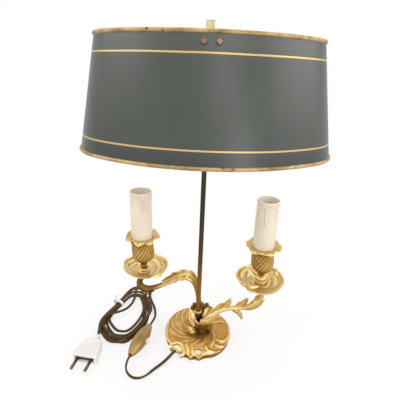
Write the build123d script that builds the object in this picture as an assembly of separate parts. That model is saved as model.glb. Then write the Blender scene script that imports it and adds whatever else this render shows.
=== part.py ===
from build123d import *
import math
import os

# A two-light bouillotte lamp: cast brass base and scrolled arms, an oval painted metal shade
# that slides and turns on a central rod, and a silk flex with a torpedo switch and a plug.
# All sizes are in millimetres. The origin is where the rod's axis meets the table, +Z is up,
# +X is to the right along the shade's long axis and -Y is the front.

# Clearances
running_gap = 0.05      # on the radius, between a shaft and the bore it moves in
seat_gap = 0.1          # between a curved face and the seat that it lies on
pass_gap = 0.3          # on the radius, around something that only passes through

# Base casting
base_wall = 3.5
plateau_radius = 17.0
plateau_top = 13.0
dome_edge_radius = 54.0
dome_profile = [(dome_edge_radius, 1.2), (51, 2.5), (49, 5), (46, 9), (42, 13), (38, 14.4),
                (32, 15.6), (25, 15.6), (plateau_radius, plateau_top)]
rim_lobes = [(0, 47), (25, 46.5), (50, 44), (75, 46.5), (100, 48), (122, 47), (146, 45.5),
             (170, 45), (188, 45.5), (206, 46.5), (222, 46), (246, 48), (253, 46.2), (260, 48.8),
             (266, 46.6), (272, 48.6), (280, 46.4), (294, 47), (316, 47.5), (338, 47.5)]
piercing_centre = (-2.5, -38.5)
piercing_length = 10.0
piercing_width = 7.0

# Scroll at the rim where the flex leaves
scroll_angle = 232.5
scroll_distance = 54.2
scroll_radius = 9.5
scroll_wall = 2.5
scroll_top = 13.0
scroll_reach = 50.0

# Flex and its grommet
flex_diameter = 4.0
grommet_height = 6.5
grommet_shank_radius = 3.0
grommet_flange_radius = 4.5
grommet_flange = 1.8

# Rod and the post that holds it
rod_diameter = 6.0
rod_top = 396.0         # 3 below the top of the square slide when the shade is up
post_radius = 4.2
post_top = 43.0
post_tail_radius = 3.0
post_foot = 0.4
rod_socket_floor = 28.0
collar_radius = 5.5
collar_height = 3.2

# Calyx: the leafy cup around the feet of the post and arms
calyx_x = 3.0
calyx_floor = 2.0
calyx_radius = 16.0
calyx_wall = 2.0
calyx_flare = 1.6
calyx_back_top = 46.0
calyx_front_top = 30.0

# Arms
arm_radius = 3.5
arm_bore_radius = 1.7
arm_tail_radius = 2.5
tail_bottom = 6.0
nut_height = 3.0
root_nut_flats = 8.0
post_nut_flats = 9.0
arm_boss_radius = 5.2
arm_boss_height = 7.0
arm_top = 97.0
left_light = (-76.5, 7.5)
right_light = (78.0, -7.5)
left_root = (-0.3, 9.0)
right_root = (7.5, -8.0)
left_stub_radius = 4.1
right_stub_radius = 5.0
stub_height = 9.0
wire_radius = 1.1

# Pans, cups and candle lights, all measured up from the arms' tops
left_pan_radius = 29.6
right_pan_radius = 31.0
pan_stretch = 1.02
pan_lobe = 1.6
pan_lobes = 7
pan_thickness = 2.2
pan_rise = 7.5
left_pan_shift = (3.0, 2.0)
right_pan_shift = (-0.2, -5.0)
cup_foot_radius = 8.0
cup_neck_radius = 4.6
cup_radius = 15.2
cup_floor = 27.0
cup_ledge = 41.0
cup_top = 50.0
collar_leaf_radius = 21.0
collar_leaf_lobe = 1.8
collar_leaf_lobes = 8
collar_leaf_top = 55.0
nipple_radius = 3.0
nipple_bore_radius = 1.8
nipple_bottom = -4.5
nipple_nut_flats = 10.0
nipple_nut_height = 4.0
sleeve_radius = 13.4
sleeve_wall = 1.3
sleeve_length = 75.0
holder_radius = 11.8
holder_below_sleeve_top = 7.0
holder_foot_depth = 5.0
shell_radius = 7.5
shell_bore_radius = 6.65
shell_length = 17.5
shell_below_holder = 0.5
contact_radius = 4.0
contact_height = 1.8

# Shade: a four-centred oval that keeps its centres from the bottom edge to the top
shade_bottom = 270.0
shade_top = 382.0
shade_half_length = 137.2
shade_half_width = 88.9
shade_end_radius = 67.0
shade_taper = 21.2
shade_wall = 0.6
bead_radius = 1.9

# Bridge across the shade, its screws, and the square slide on the rod
bridge_top = shade_top - 2.5
bridge_width = 22.0
bridge_thickness = 2.0
bridge_tab = 13.0
bridge_screw_height = bridge_top - 5.5
bridge_screw_spacing = 13.2
bridge_screw_radius = 1.5
bridge_head_radius = 2.9
bridge_head_height = 1.9
bridge_nut_flats = 5.5
bridge_nut_height = 2.4
slide_width = 9.0
slide_above_bridge = 19.5
slide_length = 54.0
slide_top = bridge_top + slide_above_bridge
slide_bottom = slide_top - slide_length
thumb_height = slide_bottom + 8.0
thumb_radius = 2.0
thumb_head_radius = 6.5
thumb_head_start = 8.0
thumb_head_length = 6.0

# Torpedo switch in the flex
switch_centre = (-76.8, -23.1)
switch_angle = 72.2
switch_half_length = 28.25
switch_radius = 9.5
switch_end_radius = 3.4
switch_wall = 1.8
bar_length = 19.0
bar_along = 7.0
bar_height = 6.5
bar_offset = 1.5
bar_gap = 0.15
switch_screw_radius = 1.25
switch_screw_head_radius = 2.4
switch_screw_from_centre = 10.5

# Two-pin plug
plug_front = (-142.6, -56.0)
plug_angle = 261.0
plug_length = 39.5
plug_width = 33.0
plug_shoulder_width = 23.0
plug_thickness = 13.4
plug_shoulder = 30.0
plug_neck_radius = 4.4
insert_width = 25.0
insert_height = 6.4
insert_recess = 2.5
insert_thickness = 4.0
pin_spacing = 18.0
pin_radius = 2.0
pin_length = 19.0
pin_sleeve_length = 10.0
pin_core_radius = 1.4

# Coil of spare flex, its tie, and the routes of the flex on the table
coil_outline = [(-146, -2), (-145, 22), (-114, 104), (-86, 104), (-67, 50), (-75.5, 6), (-96, -29),
                (-122, -29)]
coil_opening = [(-125.5, 17), (-114.5, 54), (-102, 65), (-92.5, 57), (-86.5, 31), (-92, 13),
                (-108.5, -3.5), (-118, 1.5)]
coil_width = 16.0       # across the straight side, where the tie holds it
coil_height = 9.4
tie_share = 0.42        # how far along the coil's straight side the tie sits
tie_band = 4.6
tie_thickness = 1.1
tie_squeeze = 0.8
tie_head = (3.8, 4.6, 3.2)
tie_tail = (2.2, 1.0, 15.0)
flex_height = 2.1
grommet_lead = 4.5      # how far the flex leaves each fitting straight
switch_lead = 7.0
to_switch = [(-36.6, -46.9, 4.3), (-44.0, -54.6, flex_height), (-53.2, -63.6, flex_height),
             (-61.0, -73.0, flex_height), (-68.6, -77.6, flex_height),
             (-76.6, -77.6, flex_height), (-83.6, -73.4, 2.4), (-88.4, -66.2, 5.0)]
to_coil = [(-64.3, 21.0, 6.4), (-64.0, 31.5, 4.0), (-66.0, 43.5, 3.2), (-69.6, 54.0, 4.2),
           (-75.0, 63.0, 5.4), (-82.0, 70.0, 5.5)]
to_plug_reach = 18.0

# Arm centrelines in front view, as (x, z) from root to light
left_arm_line = [(left_root[0], 45), (-2.5, 68), (-7, 84), (-15, 91), (-26, 89.5), (-40, 82.5), (-54, 75),
                 (-66, 70.2), (-76, 70.5), (-82, 77), (-81, 85), (left_light[0], 90.5)]
right_arm_line = [(right_root[0], 29), (19, 42), (32, 51.3), (46, 54.6), (60, 55.4), (72, 58.8),
                  (80.5, 67), (84, 76.5), (82.2, 84.5), (right_light[0], 90)]

# Wiring inside the base
block_distance = 26.75
block_size = (13.5, 14.0, 7.2)
block_height = 6.0
wire_height = 3.0


def turned(points, x=0.0, y=0.0):
    """A solid turned about a vertical axis, from its (radius, z) outline."""
    face = make_face(Polyline(*[(r, 0, z) for r, z in points], close=True))
    return Pos(x, y, 0) * revolve(face, Axis.Z)


def rod_between(start, end, radius):
    """A cylinder from one point to another."""
    start, end = Vector(*start), Vector(*end)
    return extrude(Plane(origin=start, z_dir=end - start) * Circle(radius), (end - start).length)


def standing(x, y, bottom, top, radius):
    """A vertical cylinder."""
    return rod_between((x, y, bottom), (x, y, top), radius)


def hex_nut(flats, height, bore):
    """A hexagonal nut on the XY plane."""
    return extrude(RegularPolygon(flats / 2, 6, major_radius=False) - Circle(bore), height)


def bend_radii(points):
    """For each corner of a route, the largest radius that its two runs leave room for."""
    radii = []
    for before, at, after in zip(points, points[1:], points[2:]):
        first, second = Vector(*at) - Vector(*before), Vector(*after) - Vector(*at)
        half_turn = math.radians(first.get_angle(second)) / 2
        radii.append(0.45 * min(first.length, second.length) / math.tan(half_turn))
    return radii


def tube(points, radius, bends=None):
    """A round tube along straight runs that are joined by tangent arcs."""
    path = FilletPolyline(*points, radius=bends or bend_radii(points))
    return sweep(Plane(origin=path @ 0, z_dir=path % 0) * Circle(radius), path=path)


def report_flex(name, points):
    """Prints a flex's length and its bend radii."""
    path = FilletPolyline(*points, radius=bend_radii(points))
    bends = ", ".join(f"{radius:.0f}" for radius in bend_radii(points))
    print(f"{name}: {path.length:.1f} long, bend radii {bends}")


def point_in(frame, x, y, z):
    """A point given in a frame's own axes, as world coordinates."""
    return tuple((frame * Pos(x, y, z)).position)


def polar(angle, distance, z=0.0):
    """The point at a distance from the rod's axis, in a direction given in degrees."""
    turn = math.radians(angle)
    return (distance * math.cos(turn), distance * math.sin(turn), z)


def oval_wire(half_length, half_width, end_radius, inset=0.0):
    """A four-centred oval, drawn inset from its outer line with the same centres."""
    end_centre = half_length - end_radius
    difference = half_length - half_width
    side_centre = difference * (2 * end_centre - difference) / (2 * (end_centre - difference))
    side_radius = side_centre + half_width
    joint = math.degrees(math.atan2(side_centre, end_centre))
    ends, sides = end_radius - inset, side_radius - inset
    return Wire([
        CenterArc((end_centre, 0), ends, -joint, 2 * joint).edge(),
        CenterArc((0, -side_centre), sides, joint, 180 - 2 * joint).edge(),
        CenterArc((-end_centre, 0), ends, 180 - joint, 2 * joint).edge(),
        CenterArc((0, side_centre), sides, 180 + joint, 180 - 2 * joint).edge(),
    ])


def shade_inset(z):
    """How far the shade has drawn in at a height."""
    return shade_taper * (z - shade_bottom) / (shade_top - shade_bottom)


def shade_level(z, inset):
    """The shade's oval at a height, as a face."""
    wire = oval_wire(shade_half_length, shade_half_width, shade_end_radius,
                     shade_inset(z) + inset)
    return Pos(0, 0, z) * Face(wire)


def shade_core(inset, bottom=shade_bottom, top=shade_top):
    """The solid inside the shade's outer face, drawn in by an inset."""
    return loft([shade_level(bottom, inset), shade_level(top, inset)], ruled=True)


def save(name, *solids):
    """Writes one sub-part, as a single solid or a group of solids."""
    shape = solids[0] if len(solids) == 1 else Compound(children=list(solids))
    export_step(shape, f"parts/{name}.step")


# Base casting --------------------------------------------------------------

def lobed_prism(inset, height):
    """The base's lobed outline, as a prism."""
    points = [polar(angle, radius - inset)[:2] for angle, radius in rim_lobes]
    return extrude(make_face(Spline(*points, periodic=True)), height)


def dome(drop):
    """The base's domed body, with its top lowered by a drop."""
    line = [(radius - drop / 3, max(z - drop, 0)) for radius, z in dome_profile]
    line = [point for point in line if point[1] > 0] if drop else line
    outer = [(line[0][0], 0), line[0]] if not drop else [(line[0][0] + 1.2, 0), line[0]]
    profile = [
        Line((0, 0), outer[0]),
        Line(outer[0], outer[1]),
        Spline(*line),
        Line(line[-1], (0, line[-1][1])),
        Line((0, line[-1][1]), (0, 0)),
    ]
    face = make_face([Plane.XZ * edge for edge in profile])
    return revolve(face, Axis.Z)


def scroll_centre():
    return polar(scroll_angle, scroll_distance)


def flange_seat():
    """How far out the grommet's flat flange meets the scroll's hollow face, at its edge."""
    return scroll_distance - math.sqrt(scroll_radius**2 - grommet_flange_radius**2) + seat_gap


def base_rosette():
    tall = 2 * plateau_top
    body = dome(0) & lobed_prism(0, tall)
    body -= dome(base_wall) & lobed_prism(base_wall, tall)
    x, y, _ = scroll_centre()
    lip = standing(x, y, 0, scroll_top, scroll_radius + scroll_wall)
    body += lip & standing(0, 0, 0, tall, scroll_reach)
    body -= standing(x, y, -1, tall, scroll_radius)
    slot = Pos(*piercing_centre) * SlotOverall(piercing_length, piercing_width)
    body -= extrude(slot, tall)
    body += block_pad() & dome(0)
    face = scroll_distance - scroll_radius
    body -= rod_between(polar(scroll_angle, face - 2 * scroll_wall, grommet_height),
                        polar(scroll_angle, face + scroll_wall, grommet_height),
                        grommet_shank_radius + seat_gap)
    body -= standing(0, 0, 0, tall, post_tail_radius + seat_gap)
    for x, y in (left_root, right_root):
        body -= standing(x, y, 0, tall, arm_tail_radius + seat_gap)
    return body


def cable_grommet():
    face = flange_seat()
    inner = scroll_distance - scroll_radius - scroll_wall
    shank = rod_between(polar(scroll_angle, inner, grommet_height),
                        polar(scroll_angle, face, grommet_height), grommet_shank_radius)
    flange = rod_between(polar(scroll_angle, face, grommet_height),
                         polar(scroll_angle, face + grommet_flange, grommet_height),
                         grommet_flange_radius)
    rim = flange.edges().filter_by(GeomType.CIRCLE).sort_by(Axis.Y)[0]
    flange = fillet(rim, grommet_flange * 0.4)
    bore = rod_between(polar(scroll_angle, inner - 1, grommet_height),
                       polar(scroll_angle, face + grommet_flange + 1, grommet_height),
                       flex_diameter / 2 + running_gap)
    return shank + flange - bore


# Post, collar and rod -------------------------------------------------------

def rod_post():
    shoulder = plateau_top + calyx_floor
    outline = [(0, tail_bottom - 0.5), (post_tail_radius, tail_bottom - 0.5),
               (post_tail_radius, shoulder), (post_radius + post_foot, shoulder),
               (post_radius + post_foot, shoulder + 2), (post_radius, shoulder + 3),
               (post_radius, post_top), (0, post_top)]
    return turned(outline) - standing(0, 0, rod_socket_floor, post_top + 1,
                                      rod_diameter / 2 + running_gap)


def collar_ring():
    bottom = post_top - collar_height
    outline = [(post_radius, bottom), (collar_radius - 0.6, bottom),
               (collar_radius, bottom + 0.8), (collar_radius, post_top - 0.6),
               (collar_radius - 0.5, post_top + 0.2), (post_radius, post_top + 0.2)]
    return turned(outline)


def rod():
    body = standing(0, 0, rod_socket_floor + seat_gap, rod_top, rod_diameter / 2)
    return chamfer(body.edges().filter_by(GeomType.CIRCLE), 0.4)


def root_nuts():
    height = plateau_top - base_wall - nut_height
    nuts = []
    for x, y in (left_root, right_root):
        toward_post = math.degrees(math.atan2(y, x)) + 30
        nuts.append(Pos(x, y, height) * Rot(0, 0, toward_post)
                    * hex_nut(root_nut_flats, nut_height, arm_tail_radius + running_gap))
    return nuts


def post_nut():
    height = plateau_top - base_wall - nut_height
    turn = math.degrees(math.atan2(left_root[1], left_root[0])) + 30
    nut = hex_nut(post_nut_flats, nut_height, post_tail_radius + running_gap)
    return Pos(0, 0, height) * Rot(0, 0, turn) * nut


# Calyx ----------------------------------------------------------------------

def calyx():
    bottom, floor = plateau_top, plateau_top + calyx_floor
    top, outer = calyx_back_top, calyx_radius
    outline = [(0, bottom), (outer - 3, bottom), (outer - 1.2, floor), (outer, floor + 6),
               (outer, top - 8), (outer + calyx_flare, top), (outer + calyx_flare - calyx_wall, top),
               (outer - calyx_wall, top - 8), (outer - calyx_wall, floor + 3),
               (outer - calyx_wall, floor), (0, floor)]
    cup = turned(outline, calyx_x, 0)
    reach = 2 * outer
    # The front is open above the floor, with low leaf tips left standing on its left.
    front = Pos(calyx_x, -reach / 2 - 1, (floor + top) / 2 + 1)
    cup -= front * Box(2 * reach, reach, top - floor + 2) - low_leaves()
    # Leaf tips along the back edge.
    scallops = [(-20, top + 5), (-13.5, top - 3), (-9.5, top - 1), (-6, top - 5), (-1, top - 2),
                (3, top), (7, top - 5), (12, top - 1), (16, top), (20.5, top - 5), (24, top + 5)]
    cup -= extrude(make_face(Plane.XZ * Polyline(*scallops, close=True)), reach, both=True)
    cup -= standing(0, 0, 0, top, post_tail_radius + seat_gap)
    for x, y in (left_root, right_root):
        cup -= standing(x, y, 0, floor + 1, arm_tail_radius + seat_gap)
    return cup


def low_leaves():
    """The region in which the calyx keeps its wall in front, as three pointed leaves."""
    floor, top = plateau_top + calyx_floor, calyx_front_top
    leaves = [(-20, floor - 1), (-20, top + 9), (-13, top + 6), (-11, top - 3), (-8.5, top + 1),
              (-6.5, top - 6), (-4, top - 3), (-1.5, floor + 2), (0, floor - 1)]
    return extrude(make_face(Plane.XZ * Polyline(*leaves, close=True)), 40, both=True)


# Arms -----------------------------------------------------------------------

def arm_points(root, line, light):
    """An arm's centreline in space, from its shoulder on the calyx floor to the pan."""
    points = [(root[0], root[1], plateau_top + calyx_floor)]
    for x, z in line:
        share = (x - root[0]) / (light[0] - root[0])
        share = min(max(share, 0), 1)
        points.append((x, root[1] + share * (light[1] - root[1]), z))
    points.append((light[0], light[1], arm_top))
    return points


def plate(outline, y, thickness):
    """A leaf blade: an outline in front view, given a thickness about a depth."""
    face = make_face(Plane.XZ * Spline(*outline, periodic=True))
    return Pos(0, y, 0) * extrude(face, thickness / 2, both=True)


def draped_leaf(line, y, half_width, thickness):
    """A leaf that lies over an arm: a band in front view, cut to a toothed outline from above."""
    above = [(x, z + thickness) for x, z in reversed(line)]
    band = make_face(Plane.XZ * Polyline(*line, *above, close=True))
    band = Pos(0, y, 0) * extrude(band, half_width, both=True)
    (start, _), (end, _) = line[0], line[-1]
    length = end - start
    teeth = [(0, 0.2), (0.08, 0.75), (0.12, 0.55), (0.3, 1), (0.34, 0.8), (0.55, 1), (0.6, 0.75),
             (0.8, 0.9), (1, 0.35)]
    side = [(start + t * length, half_width * w) for t, w in teeth]
    outline = side + [(x, -w) for x, w in reversed(side)]
    leaf = extrude(make_face(Polyline(*outline, close=True)), 3 * arm_top)
    return band & Pos(0, y, 0) * leaf


def arm(root, line, light, stub_radius):
    points = arm_points(root, line, light)
    shoulder = points[0][2]
    body = tube(points, arm_radius)
    body += standing(*root, shoulder, shoulder + stub_height, stub_radius)
    body += standing(*root, tail_bottom, shoulder, arm_tail_radius)
    body += turned([(0, arm_top - arm_boss_height), (arm_radius, arm_top - arm_boss_height),
                    (arm_boss_radius, arm_top - arm_boss_height + 3),
                    (arm_boss_radius, arm_top), (0, arm_top)], *light)
    return body


def wireway(root, line, light):
    """The centreline of an arm's bore, which runs out of both of its ends."""
    points = arm_points(root, line, light)
    points[0] = (root[0], root[1], tail_bottom - 1)
    points[-1] = (light[0], light[1], arm_top + 1)
    return points


def bored(body, root, line, light):
    """The arm with its wireway, and the thread that takes the pan's nipple."""
    body -= tube(wireway(root, line, light), arm_bore_radius)
    return body - standing(*light, arm_top + nipple_bottom, arm_top + 1,
                           nipple_radius + running_gap)


def left_arm():
    body = arm(left_root, left_arm_line, left_light, left_stub_radius)
    top = [(-50.5, 80), (-40, 84.5), (-30, 90), (-20, 93.5), (-12, 94.5), (-5, 90)]
    body += draped_leaf(top, left_light[1] + 0.4, 7.0, 3.0)
    body += plate([(-66, 66), (-62, 66.5), (-55, 72), (-60, 75), (-68, 71)], left_light[1], 5.0)
    return bored(body, left_root, left_arm_line, left_light)


def right_arm():
    body = arm(right_root, right_arm_line, right_light, right_stub_radius)
    y = right_light[1]
    # Upward leaf tips, a leaf that hangs below, and the leaf that wraps the root.
    body += plate([(21, 44), (26, 52), (31, 61), (34.5, 64), (35, 60.5), (38.5, 64), (42.8, 69.5),
                   (44.5, 66), (42.5, 59), (46, 54), (34, 50)], y, 4.0)
    body += plate([(52, 55), (57, 61), (62, 68.5), (66, 71), (67, 66.5), (66, 60), (72, 58),
                   (62, 54)], y, 4.0)
    body += plate([(44, 54), (50, 51), (54, 44), (59, 37.5), (61.2, 36.5), (60.5, 42), (58, 49),
                   (60, 55), (52, 57)], y, 4.0)
    body += plate([(2.5, 34), (7, 31), (12.5, 26), (17, 31), (22, 41), (18, 45), (11, 40)],
                  right_root[1] - 3.2, 3.0)
    # The blade that stands up behind the root, beside the collar.
    body += plate([(9.5, 24), (13.5, 24), (17, 36), (20, 47), (17, 50.5), (12, 50), (10, 40)],
                  -4.5, 2.6)
    return bored(body, right_root, right_arm_line, right_light)


# Pans, cups and lights --------------------------------------------------------

def lobed_disc(radius, lobe, lobes, turn, height, stretch=1.0):
    """A prism whose round outline swells into lobes, and may be stretched along X."""
    points = []
    for step in range(2 * lobes):
        swell = lobe / 2 if step % 2 == 0 else -lobe / 2
        x, y, _ = polar(turn + step * 180 / lobes, radius + swell)
        points.append((x * stretch, y))
    return extrude(make_face(Spline(*points, periodic=True)), height)


def pan(light, shift, radius, turn):
    """A drip pan: a dished and lobed plate, a little longer than it is wide."""
    z = arm_top
    reach = radius * pan_stretch + 2 * pan_lobe
    flat = cup_foot_radius + math.hypot(*shift) + 1
    under = [(0, z), (flat, z), (18, z + 1), (24, z + 2.6), (reach, z + pan_rise)]
    over = [(r, level + pan_thickness) for r, level in reversed(under)]
    dish = Pos(*shift) * turned(under + over)
    edge = Pos(*shift, z - 1) * lobed_disc(radius, pan_lobe, pan_lobes, turn, 30, pan_stretch)
    body = Pos(*light) * (dish & edge)
    return body - standing(*light, z - 1, z + 30, nipple_radius + seat_gap)


def cup(light, turn):
    """A candle cup: knob, neck, fluted bowl and flared leafy collar, with two bores."""
    z = arm_top
    foot = z + pan_thickness
    outline = [(0, foot), (cup_foot_radius, foot), (cup_foot_radius - 1, foot + 1.6),
               (4.9, foot + 2.6), (6.2, foot + 4), (6.4, foot + 5.4), (5.2, foot + 7),
               (cup_neck_radius, foot + 8.5), (cup_neck_radius, foot + 14), (6.5, foot + 17.5),
               (10.5, foot + 20.5), (14.0, foot + 26), (cup_radius, foot + 34),
               (14.7, foot + 42), (cup_radius, z + cup_top - 2), (17.5, z + cup_top),
               (collar_leaf_radius - 1.5, z + cup_top + 2.2),
               (collar_leaf_radius + 2, z + collar_leaf_top - 2.2),
               (collar_leaf_radius + 2, z + collar_leaf_top),
               (17.5, z + cup_top + 2.6), (0, z + cup_top + 2.6)]
    body = turned(outline)
    bowl = Pos(0, 0, z) * lobed_disc(collar_leaf_radius, collar_leaf_lobe, collar_leaf_lobes,
                                     turn, collar_leaf_top + 1)
    body = Pos(*light) * (body & bowl)
    body -= standing(*light, z + cup_ledge, z + 70, sleeve_radius + pass_gap)
    body -= standing(*light, z + cup_floor, z + 70, holder_radius + pass_gap)
    return body - standing(*light, z, z + 70, nipple_radius + seat_gap)


def nipple(light):
    top = arm_top + cup_floor + nipple_nut_height + 1.5 + holder_foot_depth
    tube_body = standing(*light, arm_top + nipple_bottom, top, nipple_radius)
    return tube_body - standing(*light, 0, top + 1, nipple_bore_radius)


def cup_nut(light):
    place = Pos(*light, arm_top + cup_floor)
    return place * hex_nut(nipple_nut_flats, nipple_nut_height, nipple_radius + running_gap)


def holder_bottom():
    return arm_top + cup_floor + nipple_nut_height + 1.5


def sleeve_top():
    return arm_top + cup_ledge + sleeve_length


def holder_top():
    return sleeve_top() - holder_below_sleeve_top


def contact_seat():
    return holder_top() - shell_below_holder - shell_length - contact_height - 0.2


def lampholder(light):
    body = standing(*light, holder_bottom(), holder_top(), holder_radius)
    body = chamfer(body.edges().filter_by(GeomType.CIRCLE).sort_by(Axis.Z)[-1], 0.8)
    body -= standing(*light, 0, holder_bottom() + holder_foot_depth, nipple_radius + seat_gap)
    body -= standing(*light, 0, contact_seat() + 1, wire_radius + 1.4)
    return body - standing(*light, contact_seat(), holder_top() + 1, shell_radius)


def screw_shell(light):
    top = holder_top() - shell_below_holder
    body = standing(*light, top - shell_length, top, shell_radius)
    return body - standing(*light, 0, top + 1, shell_bore_radius)


def centre_contact(light):
    seat = contact_seat()
    outline = [(0, seat), (contact_radius, seat), (contact_radius, seat + 0.8),
               (2.0, seat + 1.1), (1.6, seat + contact_height), (0, seat + contact_height)]
    return turned(outline, *light)


def candle_sleeve(light):
    bottom = arm_top + cup_ledge
    body = standing(*light, bottom, bottom + sleeve_length, sleeve_radius)
    rim = body.edges().filter_by(GeomType.CIRCLE).sort_by(Axis.Z)[-1]
    body = fillet(rim, 0.5)
    return body - standing(*light, 0, bottom + sleeve_length + 1, sleeve_radius - sleeve_wall)


# Wiring ------------------------------------------------------------------------

def block_frame():
    """The terminal block's place: its local X points out along the scroll's direction."""
    return Pos(*polar(scroll_angle, block_distance, block_height)) * Rot(0, 0, scroll_angle)


def block_pad():
    """The cast pad under the dome that the terminal block hangs from."""
    length, width, height = block_size
    rise = plateau_top - height / 2
    return block_frame() * Pos(0, 0, height / 2 + rise / 2) * Box(length / 2, width / 2, rise)


def terminal_block():
    body = Box(*block_size)
    body -= Box(block_size[0] + 2, 1.6, 3) .moved(Location((0, 0, block_size[2] / 2)))
    return block_frame() * fillet(body.edges().filter_by(Axis.Z), 0.8)


def supply_lead():
    """The flex's last stretch, from the terminal block out through the grommet."""
    return rod_between(polar(scroll_angle, block_distance + block_size[0] / 2, grommet_height),
                       polar(scroll_angle, flange_seat() + grommet_flange, grommet_height),
                       flex_diameter / 2)


def arm_wire(root, line, light, side):
    """One light's twin wire, from the terminal block through the arm to the lampholder."""
    face, drop = -block_size[0] / 2, wire_height + 1.2 - block_height
    entry = point_in(block_frame(), face, side, drop)
    approach = point_in(block_frame(), face - 5, side, drop)
    bore = wireway(root, line, light)
    points = [entry, approach, (root[0], root[1], wire_height), *bore[1:-1],
              (light[0], light[1], contact_seat() - 1)]
    bend = tail_bottom - wire_height - 0.3
    return tube(points, wire_radius, [2 * bend, bend, *bend_radii(bore)])


# Shade ----------------------------------------------------------------------------

def shade_screw_frames():
    """Where the four bridge screws enter the shade, with Z pointing out of its wall."""
    lean = math.degrees(math.atan2(shade_taper, shade_top - shade_bottom))
    end_centre = shade_half_length - shade_end_radius
    difference = shade_half_length - shade_half_width
    side_centre = difference * (2 * end_centre - difference) / (2 * (end_centre - difference))
    radius = side_centre + shade_half_width - shade_inset(bridge_screw_height)
    swing = math.degrees(math.asin(bridge_screw_spacing / 2 / radius))
    frames = []
    for facing in (90, 270):
        for turn in (-swing, swing):
            outward = polar(facing + turn, 1)
            sign = 1 if facing == 90 else -1
            point = (radius * outward[0], radius * outward[1] - sign * side_centre,
                     bridge_screw_height)
            normal = Vector(outward[0], outward[1], math.tan(math.radians(lean)))
            frames.append(Plane(origin=point, z_dir=normal))
    return frames


def screw_holes(body, depth):
    for frame in shade_screw_frames():
        hole = extrude(frame.offset(-depth) * Circle(bridge_screw_radius + seat_gap), 2 * depth)
        body -= hole
    return body


def shade_body():
    return screw_holes(shade_core(0) - shade_core(shade_wall), 4)


def shade_bead(z, wall):
    """A rolled bead that grips the wall's edge."""
    path = Pos(0, 0, z) * oval_wire(shade_half_length, shade_half_width, shade_end_radius,
                                    shade_inset(z) + shade_wall / 2)
    start = Plane(origin=path @ 0, z_dir=path % 0)
    return sweep(start * Circle(bead_radius), path=path) - wall


def shade_bridge():
    inset = shade_wall + seat_gap
    bar_bottom = bridge_top - bridge_thickness
    tabs = shade_core(inset) - shade_core(inset + bridge_thickness)
    middle = bridge_top - bridge_tab / 2
    tabs &= Pos(0, 0, middle) * Box(bridge_width, 4 * shade_half_width, bridge_tab)
    bar = shade_core(inset) & Pos(0, 0, (bar_bottom + bridge_top) / 2) * Box(
        bridge_width, 4 * shade_half_width, bridge_thickness)
    hole = Pos(0, 0, bridge_top) * Box(slide_width, slide_width, 20)
    return screw_holes(bar + tabs - hole, 6)


def bridge_screws():
    reach = shade_wall + seat_gap + bridge_thickness + bridge_nut_height + 0.8
    screws = []
    for frame in shade_screw_frames():
        shank = extrude(frame.offset(-reach) * Circle(bridge_screw_radius), reach + seat_gap)
        seat = frame.offset(seat_gap)
        head = extrude(seat * Circle(bridge_head_radius), bridge_head_height)
        crown = head.edges().filter_by(GeomType.CIRCLE).sort_by(
            lambda edge: abs(edge.arc_center.Y))[-1]
        head = fillet(crown, bridge_head_height * 0.75)
        slot = Pos(0, 0, bridge_head_height) * Box(4 * bridge_head_radius, 0.7, 1.2)
        screws.append(shank + head - seat * slot)
    return screws


def bridge_nuts():
    depth = shade_wall + 2 * seat_gap + bridge_thickness + bridge_nut_height
    return [frame.offset(-depth) * hex_nut(bridge_nut_flats, bridge_nut_height,
                                           bridge_screw_radius + running_gap)
            for frame in shade_screw_frames()]


def square_slide():
    middle = (slide_bottom + slide_top) / 2
    body = Pos(0, 0, middle) * Box(slide_width, slide_width, slide_top - slide_bottom)
    body = fillet(body.edges().filter_by(Axis.Z), 0.6)
    body -= standing(0, 0, slide_bottom - 1, slide_top + 1, rod_diameter / 2 + running_gap)
    return body - rod_between((0, 0, thumb_height), (slide_width, 0, thumb_height),
                              thumb_radius + running_gap)


def thumb_screw():
    tip = rod_diameter / 2 + seat_gap
    shank = rod_between((tip, 0, thumb_height), (thumb_head_start, 0, thumb_height), thumb_radius)
    end = thumb_head_start + thumb_head_length
    head = rod_between((thumb_head_start, 0, thumb_height), (end, 0, thumb_height),
                       thumb_head_radius)
    head = chamfer(head.edges().filter_by(GeomType.CIRCLE), 0.8)
    for step in range(18):
        across = polar(step * 20, thumb_head_radius)
        groove = rod_between((thumb_head_start - 1, across[0], thumb_height + across[1]),
                             (end + 1, across[0], thumb_height + across[1]), 0.45)
        head -= groove
    return shank + head


# Switch ---------------------------------------------------------------------------

def switch_frame():
    """The switch's place: its local X runs along the flex, towards the coil."""
    return Pos(*switch_centre, switch_radius) * Rot(0, 0, switch_angle)


def spindle(inset):
    """The switch's torpedo shape about its own X axis."""
    half = switch_half_length - inset
    end = switch_end_radius - inset / 2
    arc = ThreePointArc((-half, end), (0, switch_radius - inset), (half, end))
    face = make_face([Line((-half, 0), (-half, end)), arc, Line((half, end), (half, 0)),
                      Line((half, 0), (-half, 0))])
    return revolve(face, Axis.X)


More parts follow.
